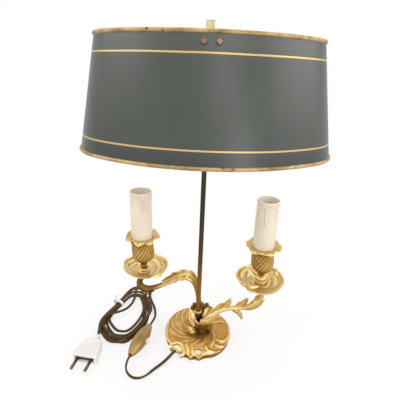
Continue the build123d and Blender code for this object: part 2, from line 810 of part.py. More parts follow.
def switch_halves():
    """The two shells, split level with the flex, with a window for the bar on each side."""
    body = spindle(0) - spindle(switch_wall)
    body -= Box(bar_along + 2 * bar_gap, 4 * switch_radius, bar_height + 2 * bar_gap)
    body -= rod_between((-2 * switch_half_length, 0, 0), (2 * switch_half_length, 0, 0),
                        flex_diameter / 2)
    half = 4 * switch_radius
    upper = body & Pos(0, 0, half / 2) * Box(4 * half, half, half)
    lower = body & Pos(0, 0, -half / 2) * Box(4 * half, half, half)
    for side in (-1, 1):
        x = side * switch_screw_from_centre
        depth = 7.2
        post = rod_between((x, 0, 0), (x, 0, depth), 2.3)
        upper += post
        lower += rod_between((x, 0, -depth), (x, 0, 0), 2.3)
        bore = rod_between((x, 0, -20), (x, 0, 4), switch_screw_radius)
        upper, lower = upper - bore, lower - bore
        seat = rod_between((x, 0, -20), (x, 0, -depth + 0.6), switch_screw_head_radius + seat_gap)
        lower -= seat
    return switch_frame() * upper, switch_frame() * lower


def switch_screws():
    screws = []
    for side in (-1, 1):
        x = side * switch_screw_from_centre
        seat = -6.6
        shank = rod_between((x, 0, seat), (x, 0, 3.8), switch_screw_radius)
        head = rod_between((x, 0, seat - 1.2), (x, 0, seat), switch_screw_head_radius)
        screws.append(switch_frame() * (shank + head))
    return screws


def switch_bar():
    body = Pos(0, -bar_offset, 0) * Box(bar_along, bar_length, bar_height)
    return switch_frame() * fillet(body.edges().filter_by(Axis.Y), 0.8)


# Plug --------------------------------------------------------------------------------

def plug_frame():
    """The plug's place: its local X points out of its front face, along the pins."""
    return Pos(*plug_front, plug_thickness / 2) * Rot(0, 0, plug_angle)


def plug_body():
    front, shoulder = plug_width / 2, plug_shoulder_width / 2
    outline = Polyline((0, -front), (0, front), (-plug_shoulder, shoulder),
                       (-plug_shoulder, -shoulder), close=True)
    body = Pos(0, 0, -plug_thickness / 2) * extrude(make_face(outline), plug_thickness)
    corners = body.edges().filter_by(Axis.Z).sort_by(Axis.X)
    body = fillet(corners[:2], 6.0)
    corners = body.edges().filter_by(Axis.Z).sort_by(Axis.X)
    body = fillet(corners[-2:], 2.0)
    caps = body.faces().filter_by(Axis.Z)
    body = fillet([edge for face in caps for edge in face.edges()], 1.8)
    neck = rod_between((-plug_length, 0, 0), (-plug_shoulder + 3, 0, 0), plug_neck_radius)
    neck = fillet(neck.edges().filter_by(GeomType.CIRCLE).sort_by(Axis.X)[0], 1.0)
    depth = insert_recess + insert_thickness
    pocket = Pos(-depth / 2, 0, 0) * Box(depth, insert_width, insert_height)
    return plug_frame() * (body + neck - pocket)


def plug_insert():
    depth = insert_recess + insert_thickness
    body = Pos(-depth + insert_thickness / 2, 0, 0) * Box(insert_thickness, insert_width,
                                                       insert_height)
    for side in (-1, 1):
        y = side * pin_spacing / 2
        body += rod_between((-insert_recess, y, 0),
                            (-insert_recess + pin_sleeve_length, y, 0), pin_radius)
        body -= rod_between((-depth - 1, y, 0), (pin_length, y, 0), pin_core_radius)
    return plug_frame() * body


def plug_pins():
    pins = []
    depth = insert_recess + insert_thickness
    for side in (-1, 1):
        y = side * pin_spacing / 2
        core = rod_between((-depth, y, 0), (pin_length - insert_recess - 2, y, 0), pin_core_radius)
        tip = rod_between((-insert_recess + pin_sleeve_length, y, 0),
                          (-insert_recess + pin_length, y, 0), pin_radius)
        tip = fillet(tip.edges().filter_by(GeomType.CIRCLE).sort_by(Axis.X)[-1], 1.0)
        pins.append(plug_frame() * (core + tip))
    return pins


# Flex, coil and tie --------------------------------------------------------------------

def coil_loop(corners):
    """A closed line on the table through rounded corners."""
    closed = [(x, y, 0) for x, y in corners]
    radii = bend_radii([closed[-1], *closed, closed[0]])
    return FilletPolyline(*closed, radius=radii, close=True)


def tie_frame():
    """The tie's place: its local X runs along the coil's straight side."""
    (x0, y0), (x1, y1) = coil_outline[1], coil_outline[2]
    length = math.hypot(x1 - x0, y1 - y0)
    along = ((x1 - x0) / length, (y1 - y0) / length)
    x = x0 + tie_share * (x1 - x0) + coil_width / 2 * along[1]
    y = y0 + tie_share * (y1 - y0) - coil_width / 2 * along[0]
    return Pos(x, y, 0) * Rot(0, 0, math.degrees(math.atan2(along[1], along[0])))


def tie_loop(band):
    """The band around the coil, as a hollow box."""
    inside_width = coil_width - 2 * tie_squeeze
    inside_height = coil_height - tie_squeeze - tie_thickness
    middle = tie_thickness + inside_height / 2
    outer = Box(band, inside_width + 2 * tie_thickness, inside_height + 2 * tie_thickness)
    inner = Box(band + 2, inside_width, inside_height)
    return tie_frame() * Pos(0, 0, middle) * (outer - inner)


def cord_coil():
    ring = make_face(coil_loop(coil_outline)) - make_face(coil_loop(coil_opening))
    body = extrude(ring, coil_height)
    sides = tie_frame() * Pos(0, 0, coil_height / 2) * (
        Box(tie_band, 3 * coil_width, 3 * coil_height)
        - Box(tie_band + 2, coil_width - 2 * tie_squeeze, 3 * coil_height))
    near = tie_frame() * Box(tie_band, 2 * coil_width, 4 * coil_height)
    return body - tie_loop(tie_band) - (sides & near)


def cable_tie():
    band = tie_loop(tie_band)
    top = coil_height - tie_squeeze + tie_thickness
    length, width, height = tie_head
    side = coil_width / 2 - tie_squeeze + tie_thickness + width / 2 - 0.6
    head = tie_frame() * Pos(0, side, top - height / 2) * Box(length, width, height)
    strip = Pos(0, 0, tie_tail[2] / 2) * Box(*tie_tail)
    tail = tie_frame() * Pos(0, side, top - 1) * Rot(0, 62, 18) * strip
    return band + head + tail


def flex_routes():
    """The three loose stretches of flex, each as its list of points."""
    lower, before = [point_in(switch_frame(), -switch_half_length - lead, 0, 0)
                     for lead in (0, switch_lead)]
    upper, after = [point_in(switch_frame(), switch_half_length + lead, 0, 0)
                    for lead in (0, switch_lead)]
    face, outside = [polar(scroll_angle, flange_seat() + grommet_flange + lead, grommet_height)
                     for lead in (0, grommet_lead)]
    neck = point_in(plug_frame(), -plug_length, 0, 0)
    inside = point_in(plug_frame(), -plug_length - to_plug_reach, 0, 0)
    return {
        "cord_grommet_to_switch": [face, outside, *to_switch, before, lower],
        "cord_switch_to_coil": [upper, after, *to_coil],
        "cord_coil_to_plug": [neck, inside],
    }


def build():
    save("base_rosette", base_rosette())
    save("cable_grommet", cable_grommet())
    save("calyx", calyx())
    save("rod_post", rod_post())
    save("collar_ring", collar_ring())
    save("post_nut", post_nut())
    save("arm_root_nuts", *root_nuts())
    save("rod", rod())
    save("left_arm", left_arm())
    save("right_arm", right_arm())
    save("terminal_block", terminal_block())
    save("supply_lead", supply_lead())
    save("left_arm_wire", arm_wire(left_root, left_arm_line, left_light, -3))
    save("right_arm_wire", arm_wire(right_root, right_arm_line, right_light, 3))

    save("left_pan", pan(left_light, left_pan_shift, left_pan_radius, 10))
    save("right_pan", pan(right_light, right_pan_shift, right_pan_radius, 40))
    for side, light, turn in (("left", left_light, 0), ("right", right_light, 20)):
        save(f"{side}_cup", cup(light, turn))
        save(f"{side}_nipple", nipple(light))
        save(f"{side}_lampholder", lampholder(light))
        save(f"{side}_screw_shell", screw_shell(light))
        save(f"{side}_centre_contact", centre_contact(light))
        save(f"{side}_candle_sleeve", candle_sleeve(light))
    save("cup_nuts", cup_nut(left_light), cup_nut(right_light))

    wall = shade_body()
    save("shade_body", wall)
    save("shade_top_bead", shade_bead(shade_top, wall))
    save("shade_bottom_bead", shade_bead(shade_bottom, wall))
    save("shade_bridge", shade_bridge())
    save("bridge_screws", *bridge_screws())
    save("bridge_nuts", *bridge_nuts())
    save("square_slide", square_slide())
    save("thumb_screw", thumb_screw())

    upper, lower = switch_halves()
    save("switch_upper_shell", upper)
    save("switch_lower_shell", lower)
    save("switch_screws", *switch_screws())
    save("switch_bar", switch_bar())
    save("plug_body", plug_body())
    save("plug_insert", plug_insert())
    save("plug_pins", *plug_pins())

    save("cord_coil", cord_coil())
    save("cable_tie", cable_tie())
    for name, points in flex_routes().items():
        if len(points) > 2:
            report_flex(name, points)
            save(name, tube(points, flex_diameter / 2))
        else:
            save(name, rod_between(*points, flex_diameter / 2))


os.makedirs("parts", exist_ok=True)
build()
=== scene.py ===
import math

import bmesh
import bpy
import numpy as np
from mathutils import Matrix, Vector
from mathutils.bvhtree import BVHTree


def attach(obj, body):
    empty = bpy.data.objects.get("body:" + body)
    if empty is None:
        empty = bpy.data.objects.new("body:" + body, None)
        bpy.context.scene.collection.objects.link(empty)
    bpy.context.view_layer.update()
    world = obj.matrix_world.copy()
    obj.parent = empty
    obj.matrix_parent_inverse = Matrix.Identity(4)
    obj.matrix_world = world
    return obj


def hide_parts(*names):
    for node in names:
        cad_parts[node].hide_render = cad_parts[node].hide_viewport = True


# A gilded two-light bouillotte lamp on a pale table. Sizes are in millimetres, apart from the
# studio's and the lengths of the flex, which are in metres.
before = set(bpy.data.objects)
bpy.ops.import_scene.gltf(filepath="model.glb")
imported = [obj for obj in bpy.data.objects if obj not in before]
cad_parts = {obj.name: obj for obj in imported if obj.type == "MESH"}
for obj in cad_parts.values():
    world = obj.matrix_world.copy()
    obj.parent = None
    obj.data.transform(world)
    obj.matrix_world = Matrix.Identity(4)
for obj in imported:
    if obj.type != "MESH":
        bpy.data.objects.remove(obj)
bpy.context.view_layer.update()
mm = 0.001


def selectOnly(*objects):
    bpy.ops.object.select_all(action='DESELECT')
    for obj in objects:
        obj.select_set(True)
    bpy.context.view_layer.objects.active = objects[-1]


def editMesh(obj, select='DESELECT'):
    selectOnly(obj)
    bpy.ops.object.mode_set(mode='EDIT')
    bpy.ops.mesh.select_mode(type='VERT')
    bpy.ops.mesh.select_all(action=select)


def leaveEdit():
    bpy.ops.object.mode_set(mode='OBJECT')


def readPoints(obj):
    flat = np.empty(len(obj.data.vertices) * 3)
    obj.data.vertices.foreach_get("co", flat)
    return flat.reshape(-1, 3) / mm


def writePoints(obj, points):
    obj.data.vertices.foreach_set("co", (points * mm).ravel())
    obj.data.update()


def readNormals(obj):
    flat = np.empty(len(obj.data.vertices) * 3)
    obj.data.vertex_normals.foreach_get("vector", flat)
    return flat.reshape(-1, 3)


def thicken(obj, wall, offset=-1):
    solid = obj.modifiers.new("wall", 'SOLIDIFY')
    solid.thickness = wall * mm
    solid.offset = offset
    selectOnly(obj)
    bpy.ops.object.modifier_apply(modifier=solid.name)


def softShade(obj, angle=45):
    selectOnly(obj)
    bpy.ops.object.shade_smooth_by_angle(angle=math.radians(angle))


def tidyMesh(obj, merge=0.02):
    # doubles are merged and the faces are turned to point outwards
    editMesh(obj, 'SELECT')
    bpy.ops.mesh.remove_doubles(threshold=merge * mm)
    bpy.ops.mesh.normals_make_consistent(inside=False)
    leaveEdit()


def joinAll(name, objects):
    selectOnly(*objects)
    if len(objects) > 1:
        bpy.ops.object.join()
    joined = bpy.context.object
    joined.name = name
    return joined


def smoothLine(points, steps=8):
    # a Catmull-Rom line through a few given points
    points = [np.array(p, float) for p in points]
    ends = [2 * points[0] - points[1], *points, 2 * points[-1] - points[-2]]
    line = []
    for a, b, c, d in zip(ends, ends[1:], ends[2:], ends[3:]):
        for step in range(steps):
            t = step / steps
            line.append(0.5 * (2 * b + (c - a) * t + (2 * a - 5 * b + 4 * c - d) * t**2
                               + (3 * b - a - 3 * c + d) * t**3))
    line.append(points[-1])
    return np.array(line)


def rib(left, right, height, *path, curve=1.6, fade=(0.15, 0.2)):
    # a raised line: how wide it slopes on each side, its height and its points, how hollow its
    # left slope is, and the shares of its length over which its two ends rise
    return {"left": left, "right": right, "height": height, "path": path, "curve": curve,
            "fade": fade}


def ribHeight(x, y, form):
    # how far a rib lifts each point
    line = smoothLine(form["path"])
    best = np.full(x.shape, 1e9)
    side = np.zeros(x.shape)
    along = np.zeros(x.shape)
    for index, (a, b) in enumerate(zip(line, line[1:])):
        run = b - a
        share = np.clip(((x - a[0]) * run[0] + (y - a[1]) * run[1]) / (run @ run), 0, 1)
        dx, dy = x - a[0] - share * run[0], y - a[1] - share * run[1]
        distance = np.hypot(dx, dy)
        nearer = distance < best
        best = np.where(nearer, distance, best)
        side = np.where(nearer, run[0] * dy - run[1] * dx, side)
        along = np.where(nearer, (index + share) / (len(line) - 1), along)
    reach = np.where(side > 0, form["left"], form["right"])
    bump = np.clip(1 - best / reach, 0, 1)
    bump = np.where(side > 0, bump ** form["curve"], bump * bump * (3 - 2 * bump))
    start, end = form["fade"]
    ends = np.clip(along / start, 0, 1) * np.clip((1 - along) / end, 0, 1)
    return form["height"] * bump * np.sqrt(ends)


def highestRib(x, y, forms):
    # 0 where there is no rib
    return np.maximum.reduce([ribHeight(x, y, form) for form in forms], initial=0)


def evenRings(start, edge, count, z):
    # rings from one radius to another, each a hair above the last, for polarSculpt to shape
    return [(start + (edge - start) * step / count, z + 0.01 * step) for step in range(count + 1)]


def spunShell(name, profile, sides, x=0.0, y=0.0, closeStart=False, closeEnd=False):
    # a ring of points, extruded and resized through the levels of a (radius, z) profile
    radius, z = profile[0]
    bpy.ops.mesh.primitive_circle_add(vertices=sides, radius=radius * mm,
                                      location=(x * mm, y * mm, z * mm))
    shell = bpy.context.object
    shell.name = name
    bpy.ops.object.transform_apply(location=True, rotation=True, scale=True)
    editMesh(shell, 'SELECT')
    if closeStart:
        bpy.ops.mesh.edge_face_add()
        bpy.ops.mesh.poke()
        bpy.ops.mesh.select_all(action='SELECT')
        bpy.ops.mesh.region_to_loop()
    for (radius, z), (nextRadius, nextZ) in zip(profile, profile[1:]):
        rise = (0, 0, (nextZ - z) * mm)
        bpy.ops.mesh.extrude_edges_move(TRANSFORM_OT_translate={"value": rise})
        grow = nextRadius / radius
        bpy.ops.transform.resize(value=(grow, grow, 1),
                                 center_override=(x * mm, y * mm, nextZ * mm))
    if closeEnd:
        bpy.ops.mesh.edge_face_add()
        bpy.ops.mesh.poke()
    leaveEdit()
    return shell


def polarSculpt(obj, x, y, shape):
    # moves the points of a shell: shape takes and gives radius, angle in degrees, and height
    points = readPoints(obj)
    dx, dy = points[:, 0] - x, points[:, 1] - y
    radius, angle, height = shape(np.hypot(dx, dy), np.degrees(np.arctan2(dy, dx)) % 360,
                                  points[:, 2])
    turn = np.radians(angle)
    writePoints(obj, np.stack([x + radius * np.cos(turn), y + radius * np.sin(turn), height], 1))


def aroundList(angle, pairs):
    # a value for each angle, smoothly between the (angle, value) pairs of a full turn
    angles = np.array([a for a, _ in pairs], float)
    values = np.array([v for _, v in pairs], float)
    angles = np.concatenate([angles - 360, angles, angles + 360])
    values = np.tile(values, 3)
    slopes = np.gradient(values, angles)
    at = np.clip(np.searchsorted(angles, angle) - 1, 0, len(angles) - 2)
    run = angles[at + 1] - angles[at]
    t = (angle - angles[at]) / run
    return (values[at] * (1 + 2 * t) * (1 - t)**2 + slopes[at] * run * t * (1 - t)**2
            + values[at + 1] * t * t * (3 - 2 * t) + slopes[at + 1] * run * t * t * (t - 1))


def markHollowsAndShade(obj, rounds=14, depth=0.55, under=0.22, browner=None, ease=0.6):
    # an attribute from 0 on the crests to 1 in the hollows, which the gilding darkens by.
    # Undersides are raised towards 1 as painted shade, and the extra function adds further painted
    # shade, while for the pans it takes some off as painted light
    mesh = obj.data
    points = readPoints(obj)
    normals = readNormals(obj)
    edges = np.empty(len(mesh.edges) * 2, int)
    mesh.edges.foreach_get("vertices", edges)
    edges = edges.reshape(-1, 2)
    count = np.bincount(edges.ravel(), minlength=len(points)).clip(1)
    eased = points.copy()
    for _ in range(rounds):
        total = np.zeros_like(eased)
        np.add.at(total, edges[:, 0], eased[edges[:, 1]])
        np.add.at(total, edges[:, 1], eased[edges[:, 0]])
        eased = (1 - ease) * eased + ease * total / count[:, None]
    sunk = ((eased - points) * normals).sum(1)
    # undersides count as hollow: painted shade
    value = 0.5 + np.clip(0.5 * sunk / depth, -0.3, 0.5) - under * normals[:, 2].clip(-1, 0)
    if browner:
        value = value + browner(points, normals)
    attribute = mesh.attributes.new("hollowAndShade", 'FLOAT', 'POINT')
    attribute.data.foreach_set("value", np.clip(value, 0, 1).astype(np.float32))


def finishCasting(name, parts, node, **hollows):
    # joins the parts of a gilt casting, shades them and gives them their CAD node's place
    whole = joinAll(name, parts)
    softShade(whole, 50)
    markHollowsAndShade(whole, **hollows)
    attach(whole, "lamp")
    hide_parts(node)
    print(f"{name} made")
    return whole


def outerRadii(name, heights, count=240):
    # the (angle, radius) pairs of a CAD node's outline, its widest over a few heights
    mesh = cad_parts[name].data
    tree = BVHTree.FromPolygons([v.co.copy() for v in mesh.vertices],
                                [tuple(p.vertices) for p in mesh.polygons])
    far = 0.3  # metres, well outside the lamp
    pairs = []
    for step in range(count):
        turn = 2 * math.pi * step / count
        inward = Vector((-math.cos(turn), -math.sin(turn), 0))
        hits = [tree.ray_cast(Vector((0, 0, z)) * mm - far * inward, inward)[3] for z in heights]
        widest = max([(far - hit) / mm for hit in hits if hit is not None], default=0)
        if widest > 0:
            pairs.append((360 * step / count, widest))
    return pairs


cameraView = {"place": (-7.8, -366.8, 348.1), "downward": 21.09, "turn": -0.66, "roll": 2.31,
              "lens": 29.25}


def makeCamera():
    view = cameraView
    bpy.ops.object.camera_add(location=Vector(view["place"]) * mm, rotation=(
        math.radians(90 - view["downward"]), 0, math.radians(view["turn"])))
    camera = bpy.context.object
    camera.rotation_euler.rotate_axis('Z', math.radians(view["roll"]))
    camera.data.lens = view["lens"]
    bpy.context.scene.camera = camera


flexRound = {"strand": 1.15, "apart": 0.9, "facets": 7}     # two strands side by side
lowerFlex = {                                              # grommet to switch
    "route": [(-29.06, -37.87, 6.5), (-31.8, -41.44, 6.5), (-36.6, -46.9, 4.3),
              (-44.0, -54.6, 2.3), (-53.2, -63.6, 2.3), (-61.0, -73.0, 2.4),
              (-68.6, -77.6, 2.6), (-76.6, -77.6, 2.7), (-83.6, -73.4, 2.9),
              (-88.4, -66.2, 5.0), (-87.73, -57.14, 9.5), (-85.44, -50.0, 9.5)],
    "tilt": [0, 0, 0, 0, 10, 40, 75, 85, 90, 90, 90, 90],
    "length": 0.097}
upperFlex = {                                              # switch to coil
    "route": [(-68.16, 3.8, 9.5), (-66.02, 10.46, 9.5), (-64.3, 21.0, 6.4), (-64.0, 31.5, 4.0),
              (-66.0, 43.5, 3.2), (-69.6, 54.0, 4.2), (-75.0, 63.0, 5.4)],
    "tilt": [90, 90, 80, 60, 30, 10, 0],
    "length": 1.8}
coil = {
    "outline": [(-86, 104), (-114, 104), (-145, 22), (-146, -2), (-122, -29), (-96, -29),
                (-75.5, 6), (-67, 50)],
    # for each turn, its height and how far inside the outline it lies at each of those corners
    "turns": [(1.3, (2.0, 3.0, 10.0, 13.0, 12.0, 8.0, 5.0, 19.0)),
              (1.6, (6.5, 6.5, 6.0, 9.0, 14.0, 15.0, 10.0, 4.5)),
              (3.4, (19.5, 17.0, 3.5, 7.0, 7.0, 8.0, 2.5, 9.0)),
              (1.4, (23.5, 22.0, 13.0, 19.0, 21.0, 20.0, 12.0, 13.0)),
              (3.6, (27.5, 27.0, 15.0, 24.0, 28.0, 26.0, 17.0, 17.0)),
              (5.4, (31.0, 31.5, 9.0, 12.0, 16.0, 11.0, 6.0, 5.0))],
    "middle": (-104.5, 36.0), "bulge": 1.2, "wander": 0.5, "roll": 12,
    "tail": [(-76.5, 84.0, 6.8), (-89.0, 101.5, 7.0), (-101.5, 100.5, 7.2), (-104.0, 86.0, 7.4),
             (-101.5, 70.0, 7.6), (-102.5, 54.0, 7.8), (-108.5, 39.5, 7.8), (-120.0, 31.0, 8.0),
             (-133.0, 26.5, 8.0), (-140.5, 17.5, 7.4), (-140.0, 3.5, 6.9), (-136.4, -17.0, 6.7)]}


def flexSection():
    # the outline of a twin flex, two round strands joined at a waist
    size = flexRound
    half = math.acos(-size["apart"] / size["strand"])
    turns = [half * (2 * step / (size["facets"] - 1) - 1) for step in range(size["facets"])]
    right = [(size["apart"] + size["strand"] * math.cos(t), size["strand"] * math.sin(t))
             for t in turns]
    outline = right[:-1] + [(-x, -y) for x, y in right[:-1]]
    data = bpy.data.curves.new("flexSection", 'CURVE')
    data.dimensions = '2D'
    spline = data.splines.new('POLY')
    spline.points.add(len(outline) - 1)
    for point, (x, y) in zip(spline.points, outline):
        point.co = (x * mm, y * mm, 0, 1)
    spline.use_cyclic_u = True
    section = bpy.data.objects.new("flexSection", data)
    bpy.context.collection.objects.link(section)
    return section


def sweptTube(name, points, section=None, radius=1.0, scales=None, tilts=None, steps=8,
              twist='Z_UP', sides=6):
    # a tube along a smooth line; gives the mesh and the points that its middle follows
    data = bpy.data.curves.new(name, 'CURVE')
    data.dimensions = '3D'
    data.twist_mode = twist
    data.resolution_u = steps
    spline = data.splines.new('NURBS')
    spline.points.add(len(points) - 1)
    for index, (point, place) in enumerate(zip(spline.points, points)):
        point.co = (*(Vector(place) * mm), 1)
        point.radius = scales[index] if scales else 1.0
        point.tilt = math.radians(tilts[index]) if tilts else 0.0
    spline.order_u = 3
    spline.use_endpoint_u = True
    spline.resolution_u = steps
    tube = bpy.data.objects.new(name, data)
    bpy.context.collection.objects.link(tube)
    bare = bpy.data.meshes.new_from_object(tube)
    path = [v.co.copy() for v in bare.vertices]
    bpy.data.meshes.remove(bare)
    if section:
        data.bevel_mode = 'OBJECT'
        data.bevel_object = section
    else:
        data.bevel_depth = radius * mm
        data.bevel_resolution = sides
    selectOnly(tube)
    bpy.ops.object.convert(target='MESH')
    tube = bpy.context.object
    around = len(tube.data.vertices) // len(path)
    lengths = np.concatenate([[0], np.cumsum([(b - a).length for a, b in zip(path, path[1:])])])
    layer = tube.data.uv_layers[0]  # millimetres along, and turns around
    for face in tube.data.polygons:
        places = [(v // around, v % around) for v in face.vertices]
        wraps = any(p == 0 for _, p in places) and any(p == around - 1 for _, p in places)
        for corner, (ring, place) in zip(face.loop_indices, places):
            turn = 1.0 if wraps and place == 0 else place / around
            layer.data[corner].uv = (lengths[min(ring, len(path) - 1)] / mm, turn)
    editMesh(tube, 'SELECT')
    bpy.ops.mesh.region_to_loop()
    bpy.ops.mesh.fill_holes(sides=0)
    bpy.ops.mesh.select_all(action='SELECT')
    bpy.ops.mesh.normals_make_consistent(inside=False)
    leaveEdit()
    softShade(tube, 60)
    return tube, path


def coilRoute():
    # the coil's control points: for each turn, one at each corner and one beyond it
    middle = np.array(coil["middle"])
    corners = [np.array(corner, float) for corner in coil["outline"]]
    turns = coil["turns"]

    def inset(index, distance):
        inward = middle - corners[index]
        return corners[index] + inward / np.linalg.norm(inward) * distance

    route = []
    for number, (low, insets) in enumerate(turns):
        nextLow, nextInsets = turns[min(number + 1, len(turns) - 1)]
        for index in range(len(corners)):
            after = (index + 1) % len(corners)
            late = (index / len(corners))**3
            height = low * (1 - late) + nextLow * late
            place = inset(index, insets[index])
            beyond = inset(after, nextInsets[0] if after == 0 else insets[after])
            wander = coil["wander"] * math.sin(7.3 * number + 2.1 * index)
            route.append((*place, height + wander * 0.3))
            half = 0.5 * (place + beyond)
            out = half - middle
            half = half + out / np.linalg.norm(out) * (coil["bulge"] + wander)
            route.append((*half, height))
    return route


tie = {"place": (-125.4, 56.6), "turn": 58.0, "band": 4.4, "width": 16.0, "height": 7.6,
       "wall": 0.9, "sides": 40, "flatness": 0.6,
       "head": (4.4, 3.6, 3.0), "headOut": 0.6, "headUp": 1.6, "headBevel": 0.5,
       "tail": [(0, 6.4, 6.6), (0.8, 7.4, 9.2), (2.4, 7.2, 12.4), (4.6, 6.0, 15.6)],
       "tailScales": [1, 1, 1, 0.7]}


def makeTie():
    # a band drawn tight around the coil's straight side, with its head and its loose end
    size = tie
    half = size["height"] / 2
    bpy.ops.mesh.primitive_cylinder_add(vertices=size["sides"], radius=half * mm,
                                        depth=size["band"] * mm, end_fill_type='NOTHING',
                                        rotation=(0, math.radians(90), 0))
    band = bpy.context.object
    bpy.ops.object.transform_apply(location=True, rotation=True, scale=True)
    points = readPoints(band)
    points[:, 1] *= size["width"] / size["height"]
    # flatter above and below than a round band
    up = points[:, 2]
    points[:, 2] = (np.sign(up) * half * (np.abs(up) / half)**size["flatness"]
                    + half + size["wall"])
    writePoints(band, points)
    tidyMesh(band)
    thicken(band, size["wall"], 1)
    bpy.ops.mesh.primitive_cube_add(size=1, location=(
        0, (size["width"] / 2 + size["headOut"]) * mm, (half + size["headUp"]) * mm))
    head = bpy.context.object
    head.scale = [length * mm for length in size["head"]]
    bpy.ops.object.transform_apply(location=True, rotation=True, scale=True)
    editMesh(head, 'SELECT')
    bpy.ops.mesh.bevel(offset=size["headBevel"] * mm, segments=3)
    leaveEdit()
    tail, _ = sweptTube("tieTail", size["tail"], scales=size["tailScales"], steps=6, sides=3)
    whole = joinAll("coilTie", [head, tail, band])
    points = readPoints(whole)
    turn = math.radians(size["turn"])
    x, y = points[:, 0].copy(), points[:, 1].copy()
    points[:, 0] = size["place"][0] + x * math.cos(turn) - y * math.sin(turn)
    points[:, 1] = size["place"][1] + x * math.sin(turn) + y * math.cos(turn)
    writePoints(whole, points)
    softShade(whole, 40)
    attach(whole, "lamp")
    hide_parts("cable_tie")
    return whole


def makeFlex():
    section = flexSection()
    route = lowerFlex["route"]
    lower, path = sweptTube("flexToSwitch", route, section, tilts=lowerFlex["tilt"])
    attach(lower, "lamp")
    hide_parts("cord_grommet_to_switch")
    turns = coilRoute()
    route = upperFlex["route"] + turns + coil["tail"]
    tilts = upperFlex["tilt"] + [coil["roll"] * math.sin(1.7 * i) for i in range(len(turns))]
    tilts += [0] * len(coil["tail"])
    upper, path = sweptTube("flexToPlug", route, section, tilts=tilts, steps=6)
    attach(upper, "lamp")
    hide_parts("cord_switch_to_coil", "cord_coil", "cord_coil_to_plug")
    band = makeTie()
    bpy.data.objects.remove(section)
    run = sum((b - a).length for a, b in zip(path, path[1:]))
    print(f"flex made, {run:.3f} m from the switch to the plug")
    return [lower, upper], band


baseDome = [(0, 13), (17, 13), (25, 15), (32, 15), (38, 13.8), (42, 12.2), (45, 10.2), (47, 8.6),
            (54, 7)]
baseShell = {"sides": 320, "rings": 58, "start": 4.0, "edge": 47.0, "wall": 2.4, "sink": 0.6,
             # the rim: how far in from the edge, and at which share of the edge's height
             "skirt": [(0.3, 0.86), (1.3, 0.6), (1.9, 0.3), (1.6, 0.0)], "outlineAt": (3.0, 6.0),
             "hole": (1.2, -41.8), "holeLength": 8.0, "holeWidth": 4.6,
             # how much browner it is all over, and the painted shade under the rim, round the
             # calyx, on the hole's wall and behind the hole
             "brown": 0.05, "rimShade": 0.4, "middleShade": 0.3, "wallShade": 0.5,
             "holeShade": 0.3}
# how wide each rib slopes to its left and right, its height, and its points
baseRibs = [
    # swept ribs of the left shell
    rib(5.5, 2.0, 0.70, (-15.4, 36.6), (-20.7, 30.5), (-23.1, 20.7), (-21.5, 9.5), (-16.0, 0.4),
        (-8.5, -3.0)),
    rib(5.5, 2.0, 0.62, (-26.9, 30.5), (-30.9, 19.5), (-31.0, 6.9), (-25.2, -3.1), (-15.3, -9.0),
        (-4.4, -9.7)),
    rib(5.5, 2.0, 0.62, (-36.6, 14.7), (-35.7, 1.3), (-29.2, -9.1), (-18.3, -15.9), (-5.4, -17.2)),
    rib(5.0, 2.0, 0.55, (-39.0, -4.3), (-34.7, -13.3), (-25.6, -20.1), (-13.3, -22.7),
        (-1.7, -20.3)),
    rib(5.0, 2.4, 0.47, (-22.6, -29.6), (-15.6, -28.0), (-5.6, -26.0), (1.8, -18.4)),
    # fine ribs between them
    rib(3.0, 1.6, 0.39, (-11.0, 38.0), (-15.5, 28.0), (-16.5, 17.0), (-12.5, 7.0)),
    rib(3.0, 1.4, 0.31, (-27.5, 23.0), (-27.0, 10.0), (-20.5, 1.5), (-11.0, -4.5)),
    rib(3.0, 1.4, 0.31, (-32.5, 5.0), (-27.5, -6.5), (-17.5, -12.5), (-6.5, -13.5)),
    # ribs that fan out to the front
    rib(5.0, 3.0, 0.7, (-8.4, -36.0), (-0.9, -29.2), (4.2, -19.5), (6.0, -11.1)),
    rib(5.0, 3.0, 0.7, (6.1, -34.5), (9.6, -28.0), (10.8, -19.3), (9.6, -12.2)),
    rib(4.6, 3.0, 0.8, (-15.3, -31.6), (-12.5, -38.0), (-10.7, -45.3), (-9.2, -52.2)),
    rib(4.0, 3.0, 0.6, (-9.9, -31.4), (-6.5, -37.8), (-5.4, -44.0), (-4.8, -51.1)),
    # the raised border of the left shell
    rib(2.8, 3.6, 1.3, (-11.6, 43.3), (-22.5, 40.0), (-33.0, 30.6), (-40.6, 14.6), (-42.8, -3.8),
        (-41.4, -18.1), (-36.4, -29.4), (-31.8, -32.5), curve=1.0, fade=(0.06, 0.05)),
    # right side: top ridge, groove edge, the two C-scrolls, and the leaf along the rim
    rib(2.0, 3.4, 1.7, (11.0, -1.6), (18.9, 4.8), (24.8, 8.1), (32.6, 10.6), (41.4, 10.4),
        curve=1.2),
    rib(3.0, 6.0, 1.2, (15.1, -2.2), (21.2, -9.3), (23.9, -18.6), (22.2, -28.9), (15.9, -37.8)),
    rib(2.0, 4.0, 1.7, (22.3, -21.5), (29.3, -24.6), (35.4, -23.6), (41.1, -17.0), (44.6, -6.9),
        curve=1.2),
    rib(2.0, 4.5, 1.2, (22.1, -30.2), (29.7, -32.1), (37.0, -28.4), (42.5, -19.1), curve=1.2),
    rib(2.0, 4.4, 1.7, (10.9, -33.2), (14.3, -39.4), (21.3, -40.6), (29.3, -37.8), (37.8, -30.2),
        (43.6, -20.4), curve=1.2),
    rib(2.5, 3.0, 1.0, (34.0, 32.0), (41.5, 21.0), (44.5, 8.0), (45.5, -6.0), curve=1.0),
    # leaves across the back
    rib(6.0, 3.0, 1.0, (4.0, 17.0), (2.0, 28.0), (5.0, 37.0), (12.0, 43.0)),
    rib(6.0, 3.0, 1.0, (12.0, 15.0), (15.0, 26.0), (22.0, 34.0), (31.0, 36.0)),
    rib(4.0, 2.6, 0.9, (18.0, 10.0), (26.0, 18.0), (36.0, 24.0)),
    rib(6.0, 3.0, 1.0, (-5.0, 18.0), (-9.0, 28.0), (-7.0, 38.0), (-1.0, 44.0))]
